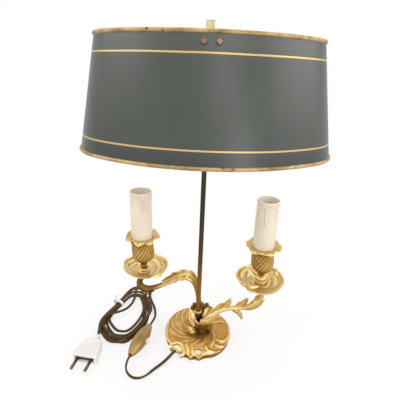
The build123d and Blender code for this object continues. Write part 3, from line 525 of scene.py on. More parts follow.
# shallow places: their middle, how far they reach and how deep they are
baseBasins = [((31.0, -5.0), 14.0, 0.5), ((1.5, -41.0), 8.0, 1.6)]
baseScroll = {"path": [(-37.0, -30.5, 10.2), (-33.6, -32.0, 11.6), (-29.4, -30.4, 12.6),
                       (-24.6, -30.2, 13.0), (-19.9, -33.2, 12.8), (-17.2, -38.9, 12.0),
                       (-17.0, -44.6, 10.6), (-19.2, -48.4, 9.4), (-22.4, -47.8, 8.2)],
              "radius": 1.9, "scales": [0.4, 0.9, 1.0, 1.05, 1.1, 1.15, 1.15, 1.1, 0.8]}


def pierce(shell, middle, across, deep, lowest=5.0, merge=0.4):
    # an oval hole: its faces are deleted and the edge left is drawn out to the oval
    def within(point, grow=1.0):
        dx, dy = point.x / mm - middle[0], point.y / mm - middle[1]
        return point.z > lowest * mm and (dx / across)**2 + (dy / deep)**2 < grow

    editMesh(shell)
    mesh = bmesh.from_edit_mesh(shell.data)
    for face in mesh.faces:
        face.select_set(within(face.calc_center_median()))
    bmesh.update_edit_mesh(shell.data)
    bpy.ops.mesh.delete(type='FACE')
    mesh = bmesh.from_edit_mesh(shell.data)
    for point in mesh.verts:
        if point.is_boundary and within(point.co, 2.0):
            dx, dy = point.co.x / mm - middle[0], point.co.y / mm - middle[1]
            reach = math.hypot(dx / across, dy / deep)
            point.co.x = (middle[0] + dx / reach) * mm
            point.co.y = (middle[1] + dy / reach) * mm
    for point in mesh.verts:
        point.select_set(point.is_boundary and within(point.co, 1.1))
    bmesh.update_edit_mesh(shell.data)
    bpy.ops.mesh.remove_doubles(threshold=merge * mm)
    mesh = bmesh.from_edit_mesh(shell.data)
    for point in mesh.verts:
        point.select_set(within(point.co, 3.0) and not point.is_boundary)
    bmesh.update_edit_mesh(shell.data)
    bpy.ops.mesh.vertices_smooth(factor=0.5, repeat=4)
    leaveEdit()


def makeBase():
    size = baseShell
    edge, sink = size["edge"], size["sink"]
    outline = outerRadii("base_rosette", size["outlineAt"])
    domeRadii, domeHeights = smoothLine(baseDome, 6).T
    profile = [(radius, float(np.interp(radius, domeRadii, domeHeights)))
               for radius, _ in evenRings(size["start"], edge, size["rings"], 0)]
    top = profile[-1][1]
    profile += [(edge - inset, top * share) for inset, share in size["skirt"]]
    shell = spunShell("baseRosette", profile, size["sides"], closeStart=True)

    def relief(radius, angle, height):
        rim = aroundList(angle, outline)
        onTop = height > top - 1e-3
        share = np.where(onTop, radius / edge, 1.0)
        grown = np.where(onTop, share * rim, rim - (edge - radius))
        cosine, sine = np.cos(np.radians(angle)), np.sin(np.radians(angle))
        x, y = grown * cosine, grown * sine
        lift = highestRib(x, y, baseRibs)
        edgeLift = highestRib(rim * cosine, rim * sine, baseRibs)
        for middle, reach, depth in baseBasins:
            away = np.hypot(x - middle[0], y - middle[1])
            lift -= depth * np.clip(1 - (away / reach)**2, 0, 1)**2
        surface = np.interp(np.where(onTop, grown, rim), domeRadii, domeHeights)
        edgeTop = np.interp(rim, domeRadii, domeHeights) + edgeLift
        return grown, angle, np.where(onTop, surface + lift - sink,
                                      (edgeTop - sink) * height / top)

    polarSculpt(shell, 0, 0, relief)
    tidyMesh(shell)
    pierce(shell, size["hole"], size["holeLength"] / 2, size["holeWidth"] / 2)
    thicken(shell, size["wall"])
    points = readPoints(shell)
    points[:, 2] = points[:, 2].clip(0)
    writePoints(shell, points)
    scroll, _ = sweptTube("scroll", baseScroll["path"], radius=baseScroll["radius"],
                          scales=baseScroll["scales"], twist='MINIMUM')

    def baseBrownAndShade(points, normals):
        # painted shade round the calyx, under the rim, on the hole's wall and along its back edge,
        # over a little brown all over
        x, y, z = points.T
        middle = np.clip((19 - np.hypot(x - 4, y + 1)) / 7, 0, 1)
        low = np.clip(1.3 - z / 5.0, 0, 1)
        holeX, holeY = size["hole"]
        hole = np.hypot((x - holeX) / size["holeLength"], (y - holeY) / size["holeWidth"]) * 2
        wall = (hole < 1.2) * (np.abs(normals[:, 2]) < 0.6)
        behind = np.clip((1.9 - hole) / 0.7, 0, 1) * (y > holeY)
        return (size["rimShade"] * low + size["middleShade"] * middle + size["brown"]
                + size["wallShade"] * wall + size["holeShade"] * behind)

    return finishCasting("baseRosette", [scroll, shell], "base_rosette", depth=0.75,
                         browner=baseBrownAndShade)


def leaf(lobes, cup, facing, width, *spine, rib=0.5, vein=0.3, notch=0.3, thick=1.6,
         grid=(34, 16)):
    # lobes on each side, how far the sides bend back, the way it faces, its half widths and the
    # points of its spine, then the depths of its midrib, veins and notches, and its thickness
    return {"lobes": lobes, "cup": cup, "facing": facing, "width": width, "spine": spine,
            "rib": rib, "vein": vein, "notch": notch, "thick": thick, "grid": grid}


def leafBlade(name, form):
    # a leaf from a grid, along its spine and across its width
    along, across = form["grid"]
    bpy.ops.mesh.primitive_grid_add(x_subdivisions=along, y_subdivisions=across, size=2)
    blade = bpy.context.object
    blade.name = name
    points = readPoints(blade) * mm
    u, v = (points[:, 0] + 1) / 2, points[:, 1]
    spine = smoothLine(form["spine"], 10)
    places = np.linspace(0, 1, len(spine))
    centre, tangent = [np.stack([np.interp(u, places, column) for column in values.T], 1)
                       for values in (spine, np.gradient(spine, axis=0))]
    tangent /= np.linalg.norm(tangent, axis=1)[:, None]
    facing = np.array(form["facing"], float)
    normal = facing - (tangent @ facing)[:, None] * tangent
    normal /= np.linalg.norm(normal, axis=1)[:, None]
    side = np.cross(normal, tangent)
    widths = np.interp(u, np.linspace(0, 1, len(form["width"])), form["width"])
    out = np.abs(v)
    notch = form["notch"] * (1 - (u * form["lobes"]) % 1.0)**2 * out**3 * np.clip(u * 6, 0, 1)
    reach = v * widths * (1 - notch)
    vein = np.cos(2 * np.pi * (u * form["lobes"] - 0.35 * out))
    lift = (form["rib"] * np.exp(-(v / 0.16)**2) - form["cup"] * v**2
            + form["vein"] * vein * out * (1 - 0.3 * out))
    lift = lift * np.clip(widths / max(form["width"]) * 1.5, 0, 1)
    writePoints(blade, centre + side * reach[:, None] + normal * lift[:, None])
    thicken(blade, form["thick"], 0)
    tidyMesh(blade, 0.05)
    return blade


def leafBlades(name, leaves):
    return [leafBlade(f"{name}{i}", form) for i, form in enumerate(leaves)]


calyx = {"x": 3.8, "radius": 14, "sides": 240, "levels": 26, "wall": 1.8,
         "floor": 13.0, "floorRadius": 9.0, "floorSides": 64,
         # the flutes' depth, then the painted shade deep inside, the painted light higher inside
         # and the painted shade on the front
         "flute": 0.9, "insideShade": 0.6, "insideLight": 0.25, "frontShade": 0.42,
         # the outside, as shares of the height and millimetres from the middle
         "bell": [(0.0, 13.4), (0.12, 12.4), (0.35, 12.6), (0.7, 13.9), (1.0, 15.6)],
         "front": [(0.0, 9.6), (0.15, 9.4), (0.5, 12.0), (0.8, 13.2), (1.0, 13.8)],
         "tops": [(0, 45), (14, 46.5), (30, 43), (50, 46), (70, 43), (90, 46), (110, 43.5),
                  (130, 46), (148, 44), (160, 44.5), (174, 41), (188, 41), (202, 38), (216, 37.5),
                  (230, 34.5), (244, 34), (257, 31.5), (270, 31.5), (284, 29.5), (298, 26),
                  (312, 22.5), (330, 24), (342, 32), (351, 41)]}
calyxLeaves = [
    leaf(3, 1.6, (0.6, -1, 0.2), (3.5, 4.5, 4.5, 3.5, 0.4), (14.5, -6, 16), (16.5, -7, 26),
         (18.5, -5, 38), (19.5, -1.5, 49)),
    leaf(2, 1.2, (-0.3, -1, 0.9), (2.4, 3.6, 3.2, 0.4), (-2.5, -9.5, 14.5), (-6.5, -11.5, 17.5),
         (-10.5, -12.0, 20.5), (-13.5, -10.5, 23)),
    leaf(2, 1.0, (-0.2, -1, 0.9), (2.4, 3.0, 2.4, 0.4), (-1.5, -10.5, 14.5), (-4.5, -13.0, 16.5),
         (-8.0, -14.4, 17.5), (-11.0, -14.6, 17.5)),
    leaf(3, 1.4, (-1, -0.5, 0.2), (3.5, 5, 4.6, 0.5), (-10.5, -3, 16), (-13.2, -4, 24),
         (-13.8, -4.5, 33), (-12.5, -4, 41)),
    # folds inside, on both sides of the post
    leaf(2, 1.2, (0.3, -1, 0.5), (2.4, 4.6, 4.8, 2.0), (-4.5, -10.5, 24), (-6.5, -8.5, 32),
         (-8.0, -5, 38.5), (-9, -1, 43)),
    leaf(2, 1.2, (-0.3, -1, 0.5), (2.0, 4.2, 4.6, 2.0), (8.5, -5, 28), (9.5, -3.5, 35),
         (12, -1, 41), (15, 1, 46))]


def makeCalyx():
    size = calyx
    low, levels = size["floor"], size["levels"]
    profile = [(size["radius"], low + step) for step in range(levels + 1)]
    shell = spunShell("calyx", profile, size["sides"], x=size["x"])

    def shape(radius, angle, height):
        share = (height - low) / levels
        top = aroundList(angle, smoothLine(size["tops"], 6))
        forward = np.clip(-np.sin(np.radians(angle - 8)) * 1.6 - 0.1, 0, 1)
        body = (np.interp(share, *zip(*size["bell"])) * (1 - forward)
                + np.interp(share, *zip(*size["front"])) * forward)
        flute = (size["flute"] * np.abs(np.sin(np.radians(angle * 4.5 + 30 * share)))
                 * share**0.5)
        return body + flute, angle, low + share * (top - low)

    polarSculpt(shell, size["x"], 0, shape)
    thicken(shell, size["wall"])
    tidyMesh(shell)
    radius = size["floorRadius"]
    floor = spunShell("calyxFloor", [(radius, low + 0.2), (radius, low + 2)],
                      size["floorSides"], x=size["x"], closeStart=True, closeEnd=True)
    tidyMesh(floor)

    def calyxShadeAndLight(points, normals):
        # painted shade: the deep part of the inside, and the front below the arm's leaf, are
        # darker, and the rest of the inside is paler, as painted light
        x, y, z = points.T
        inside = (x - size["x"]) * normals[:, 0] + y * normals[:, 1] < 0
        front = np.clip((-y - 3) / 4, 0, 1) * np.clip((34 - z) / 8, 0, 1)
        middle = np.exp(-((x - 5) / 9)**4)
        deep = np.clip((37 - z) / 6, 0, 1) * np.clip((x + 3) / 4, 0, 1)
        return (inside * (size["insideShade"] * deep - size["insideLight"])
                + size["frontShade"] * front * middle)

    parts = [floor, *leafBlades("calyxLeaf", calyxLeaves), shell]
    return finishCasting("calyxLeaves", parts, "calyx", rounds=8, depth=0.4, browner=calyxShadeAndLight)


armForm = {
    # the boss under each pan, the depth of the stem's grooves, and how much browner an arm is
    "boss": [(3.2, 88.5), (3.8, 90), (5.4, 91.5), (5.7, 93), (5.1, 94.6), (4.7, 95.4),
             (5.2, 96.2), (5.2, 97)],
    "groove": 0.35, "brown": 0.06}
# shaded: how much painted shade it takes beside the rod, at its root and under its pan
leftArm = {
    "light": (-76.5, 7.5), "shaded": (0.25, 0.0, 0.6),
    "line": [(0.6, 9.0, 15), (1.2, 9.0, 45), (-1.4, 9.0, 68), (-6.6, 8.9, 83), (-15, 8.7, 89.5),
             (-26, 8.5, 89.5), (-40, 8.3, 82.5), (-54, 8.0, 75), (-66, 7.7, 70.2),
             (-76, 7.5, 70.5), (-82, 7.5, 77), (-81, 7.5, 85), (-76.5, 7.5, 91)],
    "radius": 3.6,
    "scales": [1.1, 0.95, 0.9, 0.95, 1.05, 1.0, 0.95, 0.95, 1.1, 1.25, 1.15, 1.0, 1.1],
    "leaves": [
        leaf(5, 2.6, (0, -0.75, 1), (2.0, 5.0, 7.4, 7.8, 7.2, 3.0), (-1.5, 8.5, 66),
             (-4, 8.5, 82), (-14, 8.5, 94.5), (-26, 8.2, 93.5), (-38, 8, 88), (-50.5, 7.8, 81),
             notch=0.42, vein=0.7, grid=(72, 20), rib=0.7),
        leaf(2, 2.0, (-0.3, 0, -1), (0.8, 3.2, 4.0, 0.8), (-62, 7.6, 66.5), (-70, 7.5, 64.6),
             (-79, 7.5, 67.5), (-85.5, 7.5, 75))]}
rightArm = {
    "light": (78.0, -7.5), "root": (6.8, -8.4), "shaded": (0.0, 0.6, 0.1),
    # the stout stub that the arm grows from, inside the calyx
    "stub": [(5.6, 13.2), (5.2, 17), (4.8, 21), (5.0, 25), (5.2, 29), (4.4, 31.5), (2.6, 32.5)],
    "line": [(7.5, -8.0, 15), (7.5, -8.0, 29), (19, -7.9, 42), (32, -7.8, 51.3),
             (46, -7.7, 54.6), (60, -7.6, 55.4), (72, -7.5, 58.8), (80.5, -7.5, 67),
             (84, -7.5, 76.5), (82.2, -7.5, 84.5), (78.0, -7.5, 91)],
    "radius": 3.4,
    "scales": [1.35, 1.35, 1.0, 0.95, 1.0, 1.05, 1.05, 1.1, 1.1, 1.0, 1.1],
    "leaves": [
        # the leaf that wraps the root, with its tip to the left
        leaf(2, 1.4, (0.1, -1, 0.55), (2.5, 5.2, 4.6, 0.5), (24, -10.5, 45.5), (17, -12, 38.5),
             (11, -13, 35.5), (3.5, -13, 35.8)),
        leaf(2, 0.8, (0.4, -1, 0.2), (1.2, 3.0, 2.6, 0.4), (26, -9.8, 44), (18, -11.5, 33),
             (13.5, -12.5, 27), (10.5, -13, 22.5)),
        # blades along the top edge
        leaf(2, 1.2, (0.25, -1, 0.2), (2.0, 4.4, 4.0, 0.6), (13, -8, 37.5), (22, -8, 47),
             (28.5, -8, 56), (32.0, -8, 62.5)),
        leaf(2, 1.2, (-0.1, -1, 0.2), (2.0, 5.2, 4.2, 0.8), (25, -8, 46.5), (34.5, -8, 55),
             (40, -8, 62.5), (42.4, -8, 69.6)),
        leaf(2, 1.3, (0.1, -1, 0.2), (1.8, 4.6, 4.2, 0.8), (46, -8, 55), (56, -8, 59.5),
             (62, -8, 65), (65.3, -8, 71.5)),
        leaf(2, 1.2, (0.1, -1, 0.2), (1.0, 3.2, 3.0, 0.5), (64, -8, 57), (72, -8, 62),
             (76.5, -8, 69), (77.5, -8, 77)),
        # the blade that hangs below
        leaf(2, 1.0, (0.2, -1, 0.1), (1.2, 3.6, 3.2, 0.4), (41, -8, 54.5), (51, -8, 50.5),
             (57.5, -8, 44), (60.6, -8, 36.2)),
        leaf(2, 1.4, (0.3, -1, -0.5), (0.8, 2.6, 2.8, 0.5), (62, -8, 52.5), (72, -8, 53.5),
             (82, -8, 59.5), (88, -8, 70))]}


def makeArm(name, arm, node):
    stem, _ = sweptTube(name, arm["line"], radius=arm["radius"], scales=arm["scales"],
                        twist='MINIMUM', steps=10, sides=7)
    # shallow grooves run along the stem
    normals = readNormals(stem)
    around = np.arctan2(normals[:, 1], normals[:, 2] + normals[:, 0])
    groove = armForm["groove"] * np.cos(4 * around)
    writePoints(stem, readPoints(stem) + normals * groove[:, None])
    if "root" in arm:
        rootX, rootY = arm["root"]
        stub = spunShell("stub", arm["stub"], 56, x=rootX, y=rootY, closeStart=True,
                         closeEnd=True)
        tidyMesh(stub)
        stem = joinAll(name, [stub, stem])
    x, y = arm["light"]
    boss = spunShell("boss", armForm["boss"], 40, x=x, y=y, closeStart=True, closeEnd=True)
    tidyMesh(boss)

    def armBrownAndShade(points, normals):
        # a little brown all over, and painted shade beside the rod, at the root and under the pan
        fromRod = np.abs(points[:, 0])
        beside = np.clip((14 - fromRod) / 6, 0, 1)
        low = np.clip((33 - points[:, 2]) / 5, 0, 1)
        below = np.clip((fromRod - 50) / 14, 0, 1)
        upright, root, underPan = arm["shaded"]
        return armForm["brown"] + upright * beside + root * low + underPan * below

    parts = [boss, *leafBlades(f"{name}Leaf", arm["leaves"]), stem]
    return finishCasting(name, parts, node, rounds=8, depth=0.4, under=0.34, browner=armBrownAndShade)


panForm = {
    "rings": 44, "sides": 260, "wall": 1.8, "start": 1.5, "edge": 31.0, "paintedTopLight": 0.14,
    "roll": 0.9, "rollAt": 0.97, "rollWidth": 0.035,
    "dish": [(0.0, 99.2), (0.25, 99.2), (0.42, 99.8), (0.6, 101.3), (0.8, 103.6), (0.93, 105.2),
             (1.0, 105.9)]}
leftPan = {
    "centre": (-73.4, 9.5),
    # the rim, as degrees round from the right and millimetres out from the centre
    "rim": [(-2, 30.5), (20, 31.0), (47, 31.2), (64, 32.2), (90, 31.5), (110, 30.5), (133, 29.6),
            (157, 30.3), (172, 30.8), (181, 29.4), (190, 29.6), (209, 28.6), (240, 28.2),
            (263, 29.3), (280, 28.8), (290, 27.9), (297, 27.6), (303, 29.6), (316, 30.8),
            (335, 30.6)],
    "tips": [(0, 0.2), (60, 0.8), (120, 0.3), (170, 1.2), (186, -0.6), (210, 0.4), (270, 0.2),
             (292, -0.8), (304, 1.6), (330, 0.4)],
    "ribs": [
        rib(3.0, 3.4, 1.2, (-30, 3.5), (-23.8, -8.3), (-15.6, -15.9), (-5.1, -20.4), (4, -21),
            (11.1, -16.6), curve=1.0),
        rib(2.6, 2.8, 0.9, (-29.2, 7.3), (-22.8, -3.4), (-14.6, -11.2), (-6, -15.3), curve=1.0),
        rib(3.0, 5.0, 1.5, (2.7, 18.3), (9.5, 20.1), (15.2, 13.9), (18.5, 4), (17.6, -5.8),
            (14.3, -10.7), curve=1.0),
        rib(4.0, 3.0, 1.0, (-25.7, 3.7), (-20.9, 10.3), (-15.5, 18.5)),
        rib(4.0, 3.0, 0.9, (-20.2, -3.3), (-17.4, 6.8), (-12.5, 13.4)),
        rib(3.0, 3.0, 0.8, (13.1, 8.7), (20.4, 10.4), (25.9, 4.5)),
        rib(5.0, 3.0, 1.0, (-6, 14), (-8, 22), (-4, 29)),
        rib(5.0, 3.0, 0.9, (-16, 16), (-20, 23), (-18, 27)),
        rib(2.4, 2.4, 0.9, (24, 22), (28.5, 8), (28.4, -5.1), (23.4, -17), curve=1.0)],
    "curls": [
        leaf(2, 0.8, (0.3, -0.3, 1), (1.5, 3.6, 4.4, 3.6, 0.8), (-61, -5, 102.0),
             (-56.0, -8.0, 104.8), (-52.8, -11.8, 107.2), (-55.5, -15.8, 107.0),
             (-60.5, -16.5, 104.6), thick=1.8)]}
rightPan = {
    "centre": (77.8, -13.0),
    "rim": [(1, 31.2), (15, 32), (29, 33), (46, 33.4), (65, 33), (90, 32), (106, 32), (119, 32.6),
            (128, 33.4), (147, 32.4), (169, 31.8), (184, 30.4), (198, 29.4), (214, 28.6),
            (222, 27.4), (230, 29.6), (247, 30.4), (262, 31), (282, 31.2), (300, 30.4),
            (315, 29.7), (330, 29.9), (342, 30.4)],
    "tips": [(0, 0.0), (40, 1.0), (80, 0.3), (125, 0.6), (150, 0.2), (180, -0.4), (205, 0.0),
             (219, 0.4), (228, -0.8), (250, -0.2), (300, -0.3), (330, 0.0)],
    "ribs": [
        rib(3.4, 5.0, 1.6, (-18, 0.7), (-21.8, 7.1), (-20, 16.4), (-14.7, 21.5), (-11.2, 16.9),
            (-13.2, 7.6), curve=1.0),
        rib(3.4, 2.0, 1.7, (-30.1, 4.6), (-28, -4.1), (-23.9, -10.3), (-16.7, -13), (-7.7, -8.9),
            curve=1.0),
        rib(3.4, 3.4, 1.1, (-15.8, -18.1), (-8.6, -22.7), (1.9, -25.6), (12.2, -23.1),
            (22.9, -13.9), (28.6, -4.1), curve=1.0),
        rib(3.0, 3.0, 1.0, (-7.9, 7.9), (-7.6, -3.1), (-2.8, -8.7), (4.8, -8.8), (11.2, -2),
            (14.5, 8.1), curve=1.0),
        rib(3.0, 4.4, 1.1, (18.4, 14), (20.9, 4), (17.2, -7), (10.2, -13.6), curve=1.0),
        rib(3.6, 3.6, 1.4, (25, 26.3), (25.2, 17.9), (21.4, 9.6), curve=1.0),
        rib(2.6, 2.6, 0.9, (-22.7, 26.3), (-28, 16), (-29.4, 6.7), curve=1.0),
        rib(4.4, 3.0, 1.0, (-2, 14), (2, 22), (0, 30)),
        rib(4.4, 3.0, 1.0, (9, 13), (13, 20), (12, 28))],
    "curls": [
        # the strap that curls up against the cup
        leaf(2, 0.2, (-0.2, -1, 0.9), (1.6, 2.2, 2.6, 2.6, 2.2, 1.0), (76, -9.5, 107),
             (71, -11, 110), (66.5, -11, 114), (63, -10.5, 118.5), (62.5, -10, 122),
             (66, -9.5, 123), thick=2.2, notch=0.1, vein=0.1),
        leaf(2, 0.6, (-0.3, -0.6, 1), (1.0, 2.6, 2.4, 0.6), (60, -24.5, 102.6),
             (64, -28.6, 104.8), (69.5, -28, 105), (74, -25, 103))]}


def makePan(side, pan):
    x, y = pan["centre"]
    size = panForm
    profile = evenRings(size["start"], size["edge"], size["rings"], 99)
    dish = spunShell(f"{side}PanDish", profile, size["sides"], x=x, y=y, closeStart=True)

    def shape(radius, angle, height):
        share = radius / size["edge"]
        grown = share * aroundList(angle, pan["rim"])
        plan = grown * np.cos(np.radians(angle)), grown * np.sin(np.radians(angle))
        surface = np.interp(share, *zip(*size["dish"]))
        lift = highestRib(*plan, pan["ribs"])
        lift += aroundList(angle, pan["tips"]) * np.clip((share - 0.45) / 0.55, 0, 1)**1.5
        roll = size["roll"] * np.exp(-((share - size["rollAt"]) / size["rollWidth"])**2)
        return grown, angle, surface + lift + roll

    polarSculpt(dish, x, y, shape)
    tidyMesh(dish)
    thicken(dish, size["wall"])
    parts = [*leafBlades(f"{side}Curl", pan["curls"]), dish]
    # faces that look up are paler: painted light
    return finishCasting(f"{side}PanDish", parts, f"{side}_pan", depth=0.6,
                         browner=lambda points, normals: -size["paintedTopLight"] * (normals[:, 2] > 0))


cupForm = {
    "bowl": [(3.8, 108.0), (4.4, 110.2), (5.4, 112.4), (7.2, 114.6), (9.4, 116.6), (11.6, 118.6),
             (13.1, 120.8), (13.9, 123.2), (14.2, 126.5), (14.2, 130.5), (14.0, 134.5),
             (13.8, 138.5), (13.8, 142.0), (14.2, 145.0), (15.2, 147.6), (15.4, 149.8)],
    "sides": 288, "footSides": 176, "wall": 0.9, "shift": 1.6,
    # the straps: how many, how far round they lean, their depth and the heights they span
    "flutes": 19, "lean": 92.0, "relief": 1.0, "strapsFrom": 114, "strapsRise": 33,
    "bead": 0.9, "beadSink": 0.5, "beadHeight": 103.3, "beadWidth": 0.9,
    # the collar's top from its inner to its outer edge
    "collar": [(0.0, 151.1), (0.1, 151.2), (0.3, 151.5), (0.55, 151.9), (0.8, 152.1),
               (0.93, 152.0), (1.0, 151.4)],
    "collarStart": 13.9, "collarEdge": 22.0, "collarWall": 1.7, "collarRows": 22,
    "crest": 0.55, "vein": 0.28, "veins": 24, "lump": 0.5, "lumps": 13,
    # the bowl, under the wide collar, is darker than the knob under it and the collar above it:
    # painted shade
    "brown": [(105, -0.08), (112, 0.16), (145, 0.16), (148, -0.08)]}
leftCup = {
    # a ring of small leaves round the knob
    "foot": [(7.6, 99.4), (7.9, 100.2), (6.9, 101.0), (5.6, 101.5), (5.6, 102.0), (6.9, 102.5),
             (7.3, 103.3), (6.9, 104.1), (5.4, 104.7), (3.9, 105.4), (3.5, 106.4), (3.8, 108.0)],
    "beads": 11,
    # the collar's edge: degrees, millimetres out, and millimetres that it droops
    "collar": [(-1, 23.6, 0), (8, 22.9, 0), (17, 22.6, 0), (27, 21.9, 0.2), (36, 22.5, 0),
               (54, 24.0, -0.4), (64, 23.0, 0), (78, 21.2, 0.4), (90, 22.0, 0), (108, 20.6, 0.6),
               (120, 21.6, 0), (133, 20.4, 0.4), (150, 21.7, -0.3), (166, 21.0, 0),
               (183, 20.4, 0.3), (200, 21.0, 0.4), (212, 21.8, 0.4), (224, 23.4, 1.0),
               (231, 22.2, 0.8), (237, 19.6, 0.2), (244, 18.2, 0.2), (251, 19.6, 1.4),
               (259, 21.4, 2.4), (268, 22.6, 3.2), (276, 22.2, 2.3), (283, 20.6, 1.2),
               (289, 20.0, 0.8), (296, 21.4, 1.8), (303, 22.4, 2.8), (312, 22.4, 2.8),
               (320, 21.4, 1.4), (330, 19.6, 0.4), (340, 21.2, 0.6), (350, 23.8, 0.4)],
    "lattice": (176, 258)}
rightCup = {
    "foot": [(7.4, 99.4), (7.6, 100.2), (6.4, 100.9), (5.8, 101.5), (6.6, 102.3), (7.4, 103.6),
             (7.5, 105.0), (7.0, 106.4), (5.9, 107.5), (4.6, 108.2), (4.0, 108.6)],
    "beads": 0,
    "collar": [(1, 23.4, 0), (8, 22.4, 0.2), (14, 22.8, 0), (21, 22.2, 0.2), (29, 24.3, 0),
               (41, 24.0, 0), (50, 22.0, 0.4), (62, 22.8, 0), (76, 21.6, 0.5), (88, 23.4, 0),
               (98, 22.2, 0.3), (109, 24.4, -0.4), (124, 22.8, 0), (135, 21.2, 0.2),
               (150, 21.9, 0), (160, 23.4, -0.2), (168, 20.9, 0.2), (176, 21.8, 0.2),
               (184, 21.4, 0.3), (194, 19.2, 0.3), (203, 20.8, 0.6), (212, 22.0, 1.2),
               (222, 22.8, 2.0), (230, 23.0, 2.2), (239, 22.0, 1.4), (247, 21.0, 0.9),
               (256, 21.6, 1.2), (264, 21.8, 1.0), (272, 22.0, 1.3), (280, 22.4, 1.9),
               (288, 22.8, 2.3), (296, 21.8, 1.4), (304, 20.8, 0.8), (316, 21.6, 0.5),
               (325, 23.2, 0.6), (337, 23.8, 0.4), (346, 22.4, 0.2), (353, 23.0, 0)],
    "lattice": (196, 250)}


def makeCup(side, light, cup):
    x, y = light
    size = cupForm
    foot = spunShell(f"{side}Foot", cup["foot"], size["footSides"], x=x, y=y, closeStart=True)

    def beading(radius, angle, height):
        near = np.exp(-((height - size["beadHeight"]) / size["beadWidth"])**2)
        bead = np.abs(np.sin(np.radians(angle * cup["beads"] / 2)))**0.7
        return radius + (size["bead"] * bead - size["beadSink"]) * near, angle, height

    if cup["beads"]:
        polarSculpt(foot, x, y, beading)
    tidyMesh(foot)
    bowl = spunShell(f"{side}Bowl", smoothLine(size["bowl"], 5).tolist(), size["sides"], x=x, y=y)

    def straps(radius, angle, height):
        # flat straps that climb to the right, and a lattice on the left of the front
        share = np.clip((height - size["strapsFrom"]) / size["strapsRise"], 0, 1)
        wave = (size["flutes"] * (angle - size["lean"] * share) / 360) % 1.0
        strap = np.clip(np.minimum(wave, 1 - wave) * 5, 0, 1)**0.6
        counter = (size["flutes"] * 0.5 * (angle + size["lean"] * 1.3 * share) / 360) % 1.0
        crossed = np.clip(np.minimum(counter, 1 - counter) * 6, 0, 1)**0.7
        start, end = cup["lattice"]
        here = np.clip((angle - start) / 12, 0, 1) * np.clip((end - angle) / 10, 0, 1)
        strength = np.clip(share * 6, 0, 1) * np.clip((1 - share) * 7, 0, 1)
        wander = 0.35 * np.sin(np.radians(angle * 3 + height * 9))
        lift = strap * (1 - here) + (0.55 * strap + 0.45 * crossed) * here
        return radius + strength * size["relief"] * (lift - 0.75 + wander * 0.4), angle, height

    polarSculpt(bowl, x, y, straps)
    tidyMesh(bowl)
    thicken(bowl, size["wall"])
    start, edge = size["collarStart"], size["collarEdge"]
    collar = spunShell(f"{side}Collar", evenRings(start, edge, size["collarRows"], 148),
                       size["sides"], x=x, y=y)

    def petals(radius, angle, height):
        share = np.clip((radius - start) / (edge - start), 0, 1)
        rim = aroundList(angle, [(a, r) for a, r, _ in cup["collar"]])
        droop = aroundList(angle, [(a, d) for a, _, d in cup["collar"]])
        surface = np.interp(share, *zip(*size["collar"]))
        crest = size["crest"] * (rim - 21.5) * share * (1 - share) * 2
        vein = size["vein"] * np.sin(np.radians(angle * size["veins"])) * share * (1 - 0.6 * share)
        lump = (size["lump"] * np.sin(np.radians(angle * size["lumps"] + 40))
                * np.exp(-((share - 0.75) / 0.2)**2))
        return (start + share * (rim - start), angle,
                surface + crest + vein + lump - droop * share**2.2)

    polarSculpt(collar, x, y, petals)
    tidyMesh(collar)
    upward = sum(face.normal.z * face.area for face in collar.data.polygons) > 0
    thicken(collar, size["collarWall"], -1 if upward else 1)
    parts = [foot, collar, bowl]
    for part in parts:
        # the cup leans a little, so that its foot stands to the right of its rim
        points = readPoints(part)
        points[:, 0] += size["shift"] * np.clip((148 - points[:, 2]) / 30, 0, 1)
        writePoints(part, points)
    # the bowl darkened under its collar: painted shade
    return finishCasting(f"{side}CandleCup", parts, f"{side}_cup", depth=0.5,
                         browner=lambda points, normals: np.interp(points[:, 2],
                                                                   *zip(*size["brown"])))


candle = {"radius": 13.4, "bore": 12.1, "bottom": 147.4, "top": 213.0, "sides": 180,
          # rows 4 mm apart below the wax and 0.75 mm apart where it runs
          "rows": 8, "rowStep": 4, "fineRows": 44, "fineStep": 0.75,
          # the lip, as millimetres in from the outside and down from the top
          "lipDepth": 0.8, "lip": [(0, 0.7), (0.2, 0.25), (0.6, 0), (1.0, 0), (1.3, 0.4)],
          "uneven": 0.06}
# wax runs: width, height, then degrees from the front towards the right and depth below the top
drips = {
    "left": [(1.3, 1.5, (-49, 23), (-50, 15), (-38, 5.5), (-18, 3.2), (2, 5.5), (13, 13),
              (15, 21)),
             (1.2, 1.4, (62, 2.5), (40, 6), (23, 11), (16, 17)),
             (1.9, 1.7, (15, 20), (15.5, 24.5)),
             (1.5, 1.0, (-49, 21.5), (-49, 23.5)),
             (2.2, 1.1, (60, 0.6), (84, 0.8), (104, 3)),
             (1.6, 0.9, (130, 3), (150, 5), (160, 16), (162, 28)),
             (1.6, 0.8, (-90, 3), (-110, 4), (-118, 14), (-120, 20))],
    "right": [(1.3, 1.5, (-52, 7), (-36, 4.2), (-20, 6), (-17, 13), (-20, 19), (-14, 26)),
              (2.0, 1.7, (-15, 25), (-12.5, 28.5)),
              (1.2, 1.4, (-8, 6), (12, 4), (32, 6), (40, 13), (44, 24)),
              (1.7, 1.0, (44, 22), (45.5, 25)),
              (1.6, 0.9, (100, 3), (122, 4), (130, 14), (131, 24)),
              (1.6, 0.9, (-100, 2), (-122, 5), (-130, 18), (-131, 30))]}


